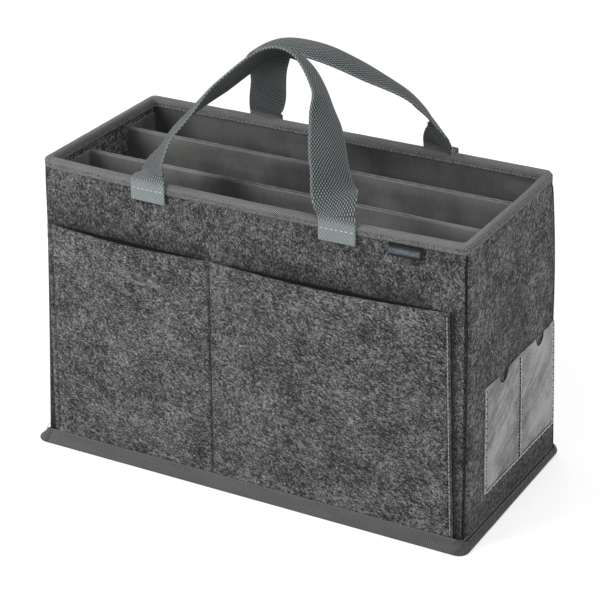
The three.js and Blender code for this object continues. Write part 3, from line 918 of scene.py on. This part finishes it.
def sleeve(side, y):
    """One cloth over the board, and at both ends a strip along the end wall to the long wall."""
    foot, top, bend = INSIDE_FOOT, DIVIDER_TOP, SLEEVE_HALF
    height = top - bend - foot
    path = [(1, foot + height * s) for s in steps(0, 1, 34)]
    path += [(math.cos(a), top - bend + bend * math.sin(a)) for a in np.radians(steps(0, 180, 8))[1:-1]]
    path += [(-1, foot + height * s) for s in steps(1, 0, 34)]
    path = np.array(path)
    z, share = grid(path[:, 1], steps(-1, 1, 110))
    face = np.broadcast_to(path[:, :1], z.shape)
    x = (half_length(z) - INNER_FACE - CLOTH - 0.06) * share
    at = stack(x, 40 * face, z)
    puff = 0.45 + 0.8 * ripple(at, 34, y, (1, 1, 0.25)) + 0.35 * ripple(at, 12, y + 3, (1, 1, 0.35))
    hang = arch(unit((z - foot) / (top - 5 - foot))) ** 0.5
    loose = arch((share + 1) / 2) ** 0.4
    swell = np.where(np.abs(face) > 0.999, np.maximum(puff, 0), 0) * hang * loose
    top_line = 0.25 * ripple(stack(x, y, 0 * z), 40, 2 * y)
    z_soft = z + np.where(z > top - 8, top_line, 0) * unit((z - top + 8) / 8)
    outer = stack(x, y + face * (bend + swell), z_soft)
    inner_z = z_soft - CLOTH * np.sqrt(unit(1 - face * face))
    inner = stack(x, y + face * (bend - CLOTH + swell), inner_z)
    developed = run(path * (bend, 1))
    parts = [slab(outer, inner, lay_of(x, developed[:, None]), 0.2)]
    z, share = grid(steps(foot, top, 30), steps(0, 1, 24))
    x = half_length(z) - INNER_FACE
    start = y - side * bend
    across = start + (long_face(side, x, z, LINING_FACE) - start) * share
    for end in (-1, 1):
        puff = np.maximum(0.3 + 0.8 * ripple(stack(x, across, z), 16, end + y, (1, 1, 0.3)), 0)
        bulge = arch(share) * puff * (np.abs(across - y) > bend + 1)
        free = stack(end * (x - CLOTH - bulge), across, z)
        against = stack(end * (x - bulge), across, z)
        parts.append(slab(free, against, lay_of(across, z), 0.2, flip=end * side > 0))
    return joined(parts)


# Pockets and label

def pocket_x(column, z):
    fall = (POCKET_TOP - z) / (POCKET_TOP - POCKET_BOTTOM)
    end = np.where(column < 0, POCKET_LEFT, POCKET_RIGHT + POCKET_FLARE * fall)
    return POCKET_SEAM + (end - POCKET_SEAM) * np.abs(column)


def pocket_gape(column, z):
    rise = np.maximum(z - FOOT_TAPE_HEIGHT, 0) / (POCKET_TOP - FOOT_TAPE_HEIGHT)
    return POCKET_GAPE * rise * arch(np.abs(column))


def pocket_outside(column, z):
    """How far the pocket's outer face stands off the wall, with its seam and sewn edges."""
    x, right = pocket_x(column, z), pocket_x(1.0, z)
    stand = SEAT + POCKET_FELT + pocket_gape(column, z)
    stand = stand - 2.0 * bell(x - POCKET_SEAM, 1.3) - 1.3 * bell(x - POCKET_LEFT - 4.5, 1.1)
    return stand - bell(x - right + 3.1, 0.7) + 0.9 * bell(x - right + 1.4, 0.8)


def front_pocket():
    heights = [*steps(POCKET_BOTTOM, FOOT_TAPE_HEIGHT, 3), *steps(FOOT_TAPE_HEIGHT, POCKET_TOP, 52)[1:]]
    fine = np.concatenate([steps(0, 0.03, 10), steps(0.03, 0.9, 44)[1:], steps(0.9, 1, 24)[1:]])
    z, column = grid(heights, np.concatenate([-fine[::-1], fine[1:]]))
    x = pocket_x(column, z)
    above_tape = unit((z - FOOT_TAPE_HEIGHT) / 8)
    plain = SEAT + POCKET_FELT
    stand = plain + (pocket_outside(column, z) - plain) * above_tape
    shape = stack(x, 0 * x, z)
    free = arch(np.abs(column)) ** 0.5 * above_tape
    stand = stand + free * (0.5 * ripple(shape, 45, 3.3) + 0.22 * ripple(shape, 15, 8.8))
    off_seam = np.abs(x - POCKET_SEAM)
    gathered = np.exp(-off_seam / 7) * above_tape * (off_seam > 1)
    stand = stand + 0.35 * gathered * ripple(shape, 7, 5.1)
    outer = at_face(-1, x, z, -stand)
    inner = at_face(-1, x, z, -(SEAT + pocket_gape(column, z)))
    return slab(outer, inner, lay_of(x, z), 0.8, 0.35, 2.0)


def card_top(y):
    cut = np.zeros_like(y)
    for middle in THUMB_NOTCHES:
        inside = THUMB_RADIUS ** 2 - (y - middle) ** 2
        cut = np.maximum(cut, np.sqrt(inside.clip(0)))
    return CARD_TOP - cut


def card_ys():
    """Places across the card pocket, closer together at the thumb notches."""
    marks = [CARD_FRONT]
    for middle in THUMB_NOTCHES:
        marks += list(middle - THUMB_RADIUS * np.cos(np.radians(steps(0, 180, 20))))
    marks.append(CARD_BACK)
    ys = []
    for a, b in zip(marks, marks[1:]):
        ys += list(steps(a, b, max(int((b - a) / 2), 1))[:-1])
    return np.array(ys + [CARD_BACK])


def card_pocket():
    share, y = grid(steps(0, 1, 36), card_ys())
    z = CARD_BOTTOM + (card_top(y) - CARD_BOTTOM) * share
    cell = np.where(y < CARD_SEAM, (y - CARD_FRONT) / (CARD_SEAM - CARD_FRONT),
                    (y - CARD_SEAM) / (CARD_BACK - CARD_SEAM))
    puff = 0.9 * arch(cell) * arch(share / 2) + end_swell(1, y, z)
    x = half_length(z) + SEAT + puff
    outer = stack(x + LEATHERETTE - 0.5 * bell(y - CARD_SEAM, 0.9), y, z)
    outer[..., 0] += 0.12 * ripple(outer, 12, 4.4) * arch(cell)
    return slab(outer, stack(x, y, z), lay_of(y, z), 0.25)


def label():
    """A loop of label cloth whose fold stands off the wall."""
    top = BODY_HEIGHT - RIM_TAPE_DROP - SEAT
    rise, x = grid(steps(0, 1, 22), LABEL_MIDDLE + steps(-LABEL_WIDTH / 2, LABEL_WIDTH / 2, 24))
    z = top - LABEL_DROP * (1 - rise)
    bulge = 1.9 * arch(rise ** 0.8) ** 0.7 + 0.25 * np.sin(x * 0.35)
    outer = at_face(-1, x, z, -(SEAT + LABEL_FOLD + bulge))
    inner = at_face(-1, x, z, -(SEAT - 0.2 + 0.7 * bulge))
    return slab(outer, inner, lay_of(x, z), 0.5)


# Handles

def spline(points, shares):
    """A centripetal Catmull-Rom curve through points, at shares from 0 to 1 by station."""
    pts = np.asarray(points, float)
    last = len(pts) - 1
    found = []
    for share in shares:
        i = min(int(share * last), last - 1)
        w = share * last - i
        p1, p2 = pts[i], pts[i + 1]
        p0 = pts[i - 1] if i else 2 * p1 - p2
        p3 = pts[i + 2] if i + 2 <= last else 2 * p2 - p1
        chords = ((p0, p1), (p1, p2), (p2, p3))
        d0, d1, d2 = (max(float(((a - b) ** 2).sum()) ** 0.25, 1e-4) for a, b in chords)
        t1 = ((p1 - p0) / d0 - (p2 - p0) / (d0 + d1) + (p2 - p1) / d1) * d1
        t2 = ((p2 - p1) / d1 - (p3 - p1) / (d1 + d2) + (p3 - p2) / d2) * d1
        squared = -3 * p1 + 3 * p2 - 2 * t1 - t2
        cubed = 2 * p1 - 2 * p2 + t1 + t2
        found.append(p1 + t1 * w + squared * w ** 2 + cubed * w ** 3)
    return np.array(found)


def fold_depth(side, stations):
    """How far from the middle a strap's fold is, between those of its two ends."""
    stand = SEWN_STAND + WEBBING + SEAT
    ends = (long_face(side, np.float64(s[0]), BODY_HEIGHT, -stand) for s in (stations[0], stations[-1]))
    return sum(ends) / 2


def leaning(distance):
    """The lean of the strap's sheet this far up it, and how far in and up that point is."""
    start = math.radians(START_LEAN)
    bend = (math.radians(FULL_LEAN) - start) / LEAN_OVER
    lean = start + bend * min(distance, LEAN_OVER)
    straight = max(distance - LEAN_OVER, 0)
    inward = (math.cos(start) - math.cos(lean)) / bend + straight * math.sin(lean)
    rise = (math.sin(lean) - math.sin(start)) / bend + straight * math.cos(lean)
    return lean, inward, rise


def ease(share):
    share = min(max(share, 0), 1)
    return share * share * (3 - 2 * share)


def strap_frames(side, stations):
    """Centre, across and face directions, half width and distance at points along the strap."""
    fine = steps(0, 1, 1600)
    path = spline([s[:2] for s in stations], fine)
    turns = spline([s[2:] for s in stations], fine)[:, 0]
    along = run(path)
    ways = np.gradient(path, axis=0)
    ways /= np.linalg.norm(ways, axis=1, keepdims=True)
    length = along[-1]
    ends = steps(0, 6, 12)
    marks = np.concatenate([ends, steps(6, length - 6, 190)[1:-1], length - ends[::-1]])
    frames = []
    for s in marks:
        x, up = (np.interp(s, along, path[:, k]) for k in range(2))
        way = [np.interp(s, along, ways[:, k]) for k in range(2)]
        turn = math.radians(np.interp(s, along, turns))
        lean, inward, rise = leaning(up)
        out = np.array([0, side * math.cos(lean), math.sin(lean)])
        in_sheet = lambda a, b: np.array([a, -side * b * math.sin(lean), b * math.cos(lean)])
        face = out * math.cos(turn) + in_sheet(-way[1], way[0]) * math.sin(turn)
        across = np.cross(face, in_sheet(*way))
        from_end = min(s, length - s)
        width = SEWN_WIDTH + (STRAP_WIDTH - SEWN_WIDTH) * min(from_end / WIDEN_OVER, 1)
        held = width / 2 * abs(math.sin(turn)) * (1 - ease((up - HOLD_FROM) / HOLD_OVER))
        centre = np.array([x, fold_depth(side, stations) - side * inward, HINGE_HEIGHT + rise])
        centre -= out * (SEAT + WEBBING / 2 + held)
        frames.append((centre, across, face, width / 2, s, from_end))
    return frames, length


def handle(side, stations):
    """Both sewn ends and the free webbing between them as one ribbon."""
    frames, length = strap_frames(side, stations)

    def sewn(station, across, s_of):
        x = np.float64(station[0])
        rows = []
        for z in steps(BODY_HEIGHT - SEWN_DROP, HINGE_HEIGHT - SEAT, 26):
            centre = np.array([x, long_face(side, x, z, -(SEWN_STAND + WEBBING / 2)), z])
            rows.append((centre, across, np.array([0.0, side, 0.0]), SEWN_WIDTH / 2, s_of(z), 0.0))
        return rows

    first = sewn(stations[0], frames[0][1], lambda z: z - HINGE_HEIGHT)
    last = sewn(stations[-1], frames[-1][1], lambda z: length + HINGE_HEIGHT - z)
    shape = np.concatenate([steps(-1, -0.9, 3), steps(-0.9, 0.9, 22)[1:-1], steps(0.9, 1, 3)])
    outline = [(a, 1) for a in shape] + [(a, -1) for a in shape[::-1]]
    rings, lay = [], []
    for centre, across, face, half, s, from_end in first + frames + last[::-1]:
        bend = STRAP_CURL[side] * ease((from_end - CURL_START) / CURL_OVER) + 0.001
        radius = half / bend
        ring = []
        for a, facing in outline:
            edge = max((abs(a) - 0.9) / 0.1, 0)
            thick = facing * WEBBING / 2 * math.sqrt(max(1 - 0.75 * edge ** 2, 0))
            angle = a * bend
            sink = radius * (1 - math.cos(angle)) - radius * (1 - math.cos(bend)) * 0.3
            bulge = face * (thick * math.cos(angle) - sink)
            at = centre + across * ((radius + thick) * math.sin(angle)) + bulge
            if from_end <= 0:
                at[1] += long_face(side, at[0], at[2], 0) - long_face(side, centre[0], at[2], 0)
            ring.append(at)
        rings.append(ring)
        lay.append([(s, a * half, facing) for a, facing in outline])
    rings, lay = np.array(rings), np.array(lay)
    count, columns = rings.shape[:2]
    faces = quads(count, columns, wrap=True)
    for start, flip in ((0, 1), ((count - 1) * columns, -1)):
        for c in range(columns // 2 - 1):
            cap = (start + c, start + columns - 1 - c, start + columns - 2 - c, start + c + 1)
            faces.append(cap[::flip])
    return rings.reshape(-1, 3), faces, lay.reshape(-1, 3)


# Build

camera()
bpy.context.scene.view_settings.view_transform = "Standard"

felt_wall = felt("wall_felt", 0.011, 0.185, (0, 0.9, 0), 1.4)
felt_front = felt("front_felt", 0.011, 0.185, (0, 0.9, 0), 1.4, shaded=True)
felt_end = felt("end_felt", 0.01, 0.225, (0, math.radians(20), math.radians(-90)), 2.0, 0.85)
felt_pocket = felt("pocket_felt", 0.013, 0.225, (0, math.radians(8), 0), 1.9, 1.05, 0.8)
rim_cloth = tape_cloth("rim_tape", 0.255, 0.014, ribs=False)
foot_cloth = tape_cloth("foot_tape", 0.115, 0.03, ribs=True)
# The sleeves take a lighter copy of the lining cloth, painted lighter because the dividers catch more
# light from above; the lining has the painted highlight and the sleeves have painted shade in their
# right corners.
lining = lining_cloth("lining_cloth", 0.062, painted_highlight_level=0.9)
sleeve_cloth = lining_cloth("sleeve_cloth", 0.092, corners=0.3)
webbing = webbing_cloth("webbing")
leatherette = leatherette_skin("leatherette")
label_stuff = label_cloth("label_satin")
pale_thread = thread("pale_thread", 0.26)
grey_thread = thread("grey_thread", 0.14)
dark_thread = thread("dark_thread", 0.012)
black_thread = thread("black_thread", 0.004)
tab_thread = thread("tab_thread", 0.42)
highlight_thread = thread("highlight_thread", 0.5)
hem_and_highlight_thread = thread("hem_and_highlight_thread", 0.2)
board = board_stuff("board")

WALLS = ["front_felt", "back_felt", "left_felt", "right_felt"]
SHEETS = [
    ("base_felt", floor_sheet(0, BASE_FELT, 199.4, 90.4, 1, 0.1),
     felt_wall, "felt", "base_felt_panel", (0.4, 0.182), "laid", []),
    ("base_cloth", floor_sheet(FLOOR_CLOTH_LOW, FLOOR_CLOTH_LOW + CLOTH, 187.7, 86.5, 2, 0.3),
     lining, "cloth", "base_lining", (0.375, 0.173), "laid", ["base_board"]),
    ("front_felt", felt_long_wall(-1),
     felt_front, "felt", "front_felt_panel", (0.4, 0.26), "stretched", ["base_felt"]),
    ("back_felt", felt_long_wall(1),
     felt_wall, "felt", "back_felt_panel", (0.4, 0.26), "stretched", ["base_felt"]),
    ("left_felt", felt_end_wall(-1),
     felt_end, "felt", "left_felt_panel", (0.174, 0.26), "stretched", ["base_felt"]),
    ("right_felt", felt_end_wall(1),
     felt_end, "felt", "right_felt_panel", (0.174, 0.26), "stretched", ["base_felt"]),
    ("front_lining", wall_lining(-1),
     lining, "cloth", "front_wall_lining", (0.39, 0.255), "hung", ["front_felt"]),
    ("back_lining", wall_lining(1),
     lining, "cloth", "back_wall_lining", (0.39, 0.255), "hung", ["back_felt"]),
    ("rim_tape", rim_tape(),
     rim_cloth, "tape", "rim_binding", (0.025, 1.135), "folded", WALLS),
    ("foot_tape", foot_tape(),
     foot_cloth, "tape", "base_binding", (0.018, 1.18), "folded", WALLS),
    ("front_sleeve", sleeve(-1, FRONT_DIVIDER_Y),
     sleeve_cloth, "cloth", "front_divider_cover", (0.487, 0.438), "stretched", ["front_divider_board"]),
    ("back_sleeve", sleeve(1, BACK_DIVIDER_Y),
     sleeve_cloth, "cloth", "back_divider_cover", (0.487, 0.422), "stretched", ["back_divider_board"]),
    ("front_pocket", front_pocket(),
     felt_pocket, "pocket_felt", "front_pocket_panel", (0.378, 0.206), "stretched", ["front_felt"]),
    ("card_pocket", card_pocket(),
     leatherette, "leatherette", "card_pocket_sheet", (0.142, 0.096), "stretched", ["right_felt"]),
]
for name, made, material, slot, node, flat, held, rests_on in SHEETS:
    obj = dress(add_mesh(name, *made, 55), material, "case", [node])
dress(add_mesh("label", *label(), 55), label_stuff, "case", ["label_loop"])

for name, side, stations in HANDLES:
    obj = add_mesh(name + "_webbing", *handle(side, stations), 60)
    dress(obj, webbing, None, [name + "_strap", name + "_left_end", name + "_right_end"])
    depth = fold_depth(side, stations)
    depth * MM
    depth * MM
    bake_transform(obj)

for name in ("base_board", "front_divider_board", "back_divider_board"):
    node = frame["nodes"][name]
    node.data.materials.clear()
    node.data.materials.append(board)


# Stitching

def with_normal(path, normal):
    """A line for stitches: its points and, for each of them, the same normal."""
    return path, np.tile(np.array(normal, float), (len(path), 1))


def line_on_front(xs, zs, stand):
    """A line on the front wall, this far off its felt."""
    return with_normal(at_face(-1, xs, zs, -stand), (0, -1, 0))


def line_on_end(side, ys, zs, stand):
    x = side * (half_length(zs) + end_swell(side, ys, zs) + stand)
    return with_normal(stack(x, ys, zs), (side, 0, 0.03))


def corner_line(end, side, zs):
    """A line up the groove at one corner of the case."""
    x = end * (half_length(zs) - 1.75 + end_swell(end, side * 90, zs))
    return with_normal(stack(x, side * (half_depth(zs) - 1.75), zs), (0.7 * end, 0.7 * side, 0))


def around(end, long, z, radius, facing=1):
    """A closed line round the case with its normals."""
    line = np.array([binding_point(s, end, long, long, z, radius) for s in ring_stations(60, 8)])
    line = np.concatenate([line, line[:1]])
    ahead = np.gradient(line, axis=0)
    normals = facing * np.cross(ahead, np.array([0.0, 0.0, 1.0]))
    return line, normals / np.linalg.norm(normals, axis=1, keepdims=True)


def hem(y, shift, x0, x1):
    """A line along the rounded top of a divider's sleeve."""
    rise = math.sqrt(SLEEVE_HALF ** 2 - shift ** 2)
    path = stack(steps(x0, x1, 60), y + shift, DIVIDER_TOP - SLEEVE_HALF + rise)
    return with_normal(path, (0, shift / SLEEVE_HALF, rise / SLEEVE_HALF))


def return_hem(side, end, y):
    """The top edge of the strip that runs on along the end wall."""
    ys = steps(y + side * SLEEVE_HALF, side * (half_depth(DIVIDER_TOP) - LINING_FACE), 20)
    x = end * (half_length(DIVIDER_TOP) - INNER_FACE - CLOTH / 2)
    return with_normal(stack(x, ys, DIVIDER_TOP), (0, 0, 1))


def sew(name, material, slot, *rows):
    """Each row is a line, then the length, gap and thickness of its stitches and any zigzag."""
    parts = [stitches(*line, *sizes) for line, *sizes in rows]
    dress(add_mesh(name, *joined(parts), 0), material)


rim_low = BODY_HEIGHT - RIM_TAPE_DROP
inner_end, inner_long = -(WALL_FELT + SEAT + TAPE), -(LINING_FACE + TAPE)
sew("rim_stitches", pale_thread, "tape",
    (around(1.15, 1.15, rim_low + 2.0, CORNER_RADIUS + 1.2), 1.1, 0.7, 0.26, 0.5),
    (around(inner_end, inner_long, rim_low + 1.5, 3.5, -1), 2.4, 1.3, 0.38))
sew("rim_shadow_stitches", dark_thread, "tape",
    (around(-0.9, -0.8, rim_low - 1.6, CORNER_RADIUS), 2.2, 1.4, 0.3))

zs = steps(FOOT_TAPE_HEIGHT + 1, POCKET_TOP - 2, 60)
right_edge = pocket_x(1.0, zs)
pocket_face = SEAT + POCKET_FELT + 0.1
# The unbroken dark lines just outside the pocket's left and right edges are painted shadow; the other
# rows are stitches.
sew("pocket_stitches_and_shadow_lines", dark_thread, "pocket_felt",
    (line_on_front(POCKET_SEAM, zs, pocket_face - 1.9), 3.4, 0.7, 0.75),
    (line_on_front(POCKET_LEFT + 4.5, zs, pocket_face - 1.0), 3.4, 0.7, 0.7),
    (line_on_front(POCKET_LEFT - 0.8, zs, 0.3), 5.0, 0.2, 0.8),
    (line_on_front(right_edge - 3.1, zs, pocket_face - 0.7), 1.8, 1.2, 0.42),
    (line_on_front(right_edge + 0.9, zs, 0.2), 5.0, 0.1, 0.9),
    (line_on_front(steps(-188, 187, 60), FOOT_TAPE_HEIGHT + 4.5, pocket_face - 0.5), 2.8, 1.0, 0.6))
# Pale stitches along the pocket's right ridge, also standing in as a painted highlight on it.
sew("pocket_edge_stitches_and_highlight", pale_thread, "pocket_felt",
    (line_on_front(right_edge - 1.4, zs, pocket_face + 0.85), 3.4, 0.4, 0.5))
line, out = around(0.9, SEAT + POCKET_FELT + SEAT + 0.9, FOOT_TAPE_HEIGHT - 0.7, CORNER_RADIUS + 1.5)
in_front = line[:, 1] < -80
sew("foot_edge_stitches", grey_thread, "tape",
    ((line[in_front], out[in_front]), 2.2, 0.8, 0.38, 0.3))
ys = steps(-84, 84, 40)
sew("foot_stitches", grey_thread, "felt",
    (line_on_end(1, ys, 11.0, 0.0), 2.4, 0.8, 0.32),
    (line_on_end(-1, ys, 11.0, 0.0), 2.4, 0.8, 0.32),
    (line_on_end(1, ys, 7.8, 1.3), 2.4, 0.6, 0.3))
ys = steps(-86, 86, 40)
# Unbroken black lines for the creases of the foot tape at the ends: painted shade.
sew("painted_foot_crease_shade", black_thread, "tape",
    (line_on_end(1, ys, 8.9, 0.1), 5.0, 0.1, 0.45),
    (line_on_end(-1, ys, 8.9, 0.1), 5.0, 0.1, 0.45),
    (line_on_end(1, ys, 6.4, 1.6), 5.0, 0.1, 0.45))
zs = steps(BASE_FELT + 3, rim_low - 1, 60)
# Unbroken black lines up the corner grooves: the seams, and painted shade of the grooves.
sew("corner_seams_and_groove_shade", black_thread, "felt",
    *((corner_line(end, side, zs), 4.0, 0.1, 0.6) for end in (-1, 1) for side in (-1, 1)))

card_face = SEAT + LEATHERETTE + 0.1
zs = steps(CARD_BOTTOM + 1, CARD_TOP - 2, 30)
ys = steps(CARD_FRONT + 2, CARD_BACK - 2, 40)
sew("card_stitches", dark_thread, "leatherette",
    *((line_on_end(1, y, zs, card_face + 0.3), 2.2, 1.0, 0.62)
      for y in (CARD_FRONT + 2.4, CARD_SEAM - 1.4, CARD_BACK - 3.6)),
    (line_on_end(1, ys, CARD_BOTTOM + 2.4, card_face + 0.3), 2.2, 1.0, 0.5))
# Pale lines along the card pocket's edges and seam: painted highlights.
sew("card_edge_highlights", highlight_thread, "leatherette",
    *((line_on_end(1, y, zs, card_face + 0.35), 6.0, 0.3, 0.6)
      for y in (CARD_FRONT + 0.9, CARD_SEAM + 0.5, CARD_BACK - 5.2)),
    (line_on_end(1, ys, CARD_BOTTOM + 0.7, card_face + 0.25), 6.0, 0.3, 0.6))

tab_rows = []
for _, side, stations in HANDLES:
    for middle in (stations[0][0], stations[-1][0]):
        xs = middle + steps(-SEWN_WIDTH / 2 + 1, SEWN_WIDTH / 2 - 1, 12)
        z = BODY_HEIGHT - SEWN_DROP + 10.3
        path = at_face(side, xs, z, -(SEWN_STAND + WEBBING))
        tab_rows.append((with_normal(path, (0, side, 0)), 2.8, 1.2, 0.55))
sew("tab_stitches", tab_thread, "webbing", *tab_rows)

# The hem lines are painted highlights along the folded tops of the sleeves and their end strips; the
# zigzag row at the front divider's right end is stitching.
sew("sleeve_hems_and_highlights", hem_and_highlight_thread, "cloth",
    (hem(BACK_DIVIDER_Y, 0.6, -192, 192), 12.0, 0.1, 0.26),
    (hem(FRONT_DIVIDER_Y, 0.6, -192, 120), 12.0, 0.1, 0.26),
    (hem(FRONT_DIVIDER_Y, -1.2, 120, 192), 1.6, 0.9, 0.42, 0.9),
    *((return_hem(side, end, y), 4.0, 0.3, 0.4)
      for side, y in ((-1, FRONT_DIVIDER_Y), (1, BACK_DIVIDER_Y)) for end in (-1, 1)))
# Unbroken dark lines along the sleeve tops: painted shade of creases.
sew("sleeve_crease_shade", dark_thread, "cloth",
    (hem(BACK_DIVIDER_Y, -1.2, 0, 192), 12.0, 0.1, 0.3),
    (hem(FRONT_DIVIDER_Y, -1.2, -60, 118), 12.0, 0.1, 0.24))


# Floor and light

def floor():
    """White paper that glows a little to the camera, so that only the shadow shows on it."""
    bpy.ops.mesh.primitive_plane_add(size=12)
    obj = bpy.context.object
    obj.name = "floor"
    p = Paint("floor_paper", Specular_IOR_Level=0.1)
    tone = p.noise(p.place(), 3)
    colour = p.mix(tone, grey(0.66), grey(0.7))
    p.put(p.shader.inputs["Emission Color"], grey(1))
    seen = p.field("ShaderNodeLightPath", out="Is Camera Ray")
    p.put(p.shader.inputs["Emission Strength"], seen * 0.5)
    obj.data.materials.append(p.finish(colour, 0.9))


def world():
    sky = bpy.data.worlds.new("world")
    bpy.context.scene.world = sky
    sky.use_nodes = True
    tree = sky.node_tree
    shade = tree.nodes["Background"]
    shade.inputs[0].default_value = (1, 1, 1, 1)
    seen = tree.nodes.new("ShaderNodeLightPath")
    power = tree.nodes.new("ShaderNodeMapRange")
    power.inputs["To Min"].default_value = 0.5
    power.inputs["To Max"].default_value = 1.0
    tree.links.new(seen.outputs["Is Camera Ray"], power.inputs["Value"])
    tree.links.new(power.outputs[0], shade.inputs[1])


floor()
world()
lamp("key", (-0.8, -1.15, 0.95), size=0.8, power=19.5)
lamp("fill", (1.5, -0.75, 1.35), size=1.2, power=15)
lamp("top", (0.0, 0.3, 2.2), size=1.3, power=5)
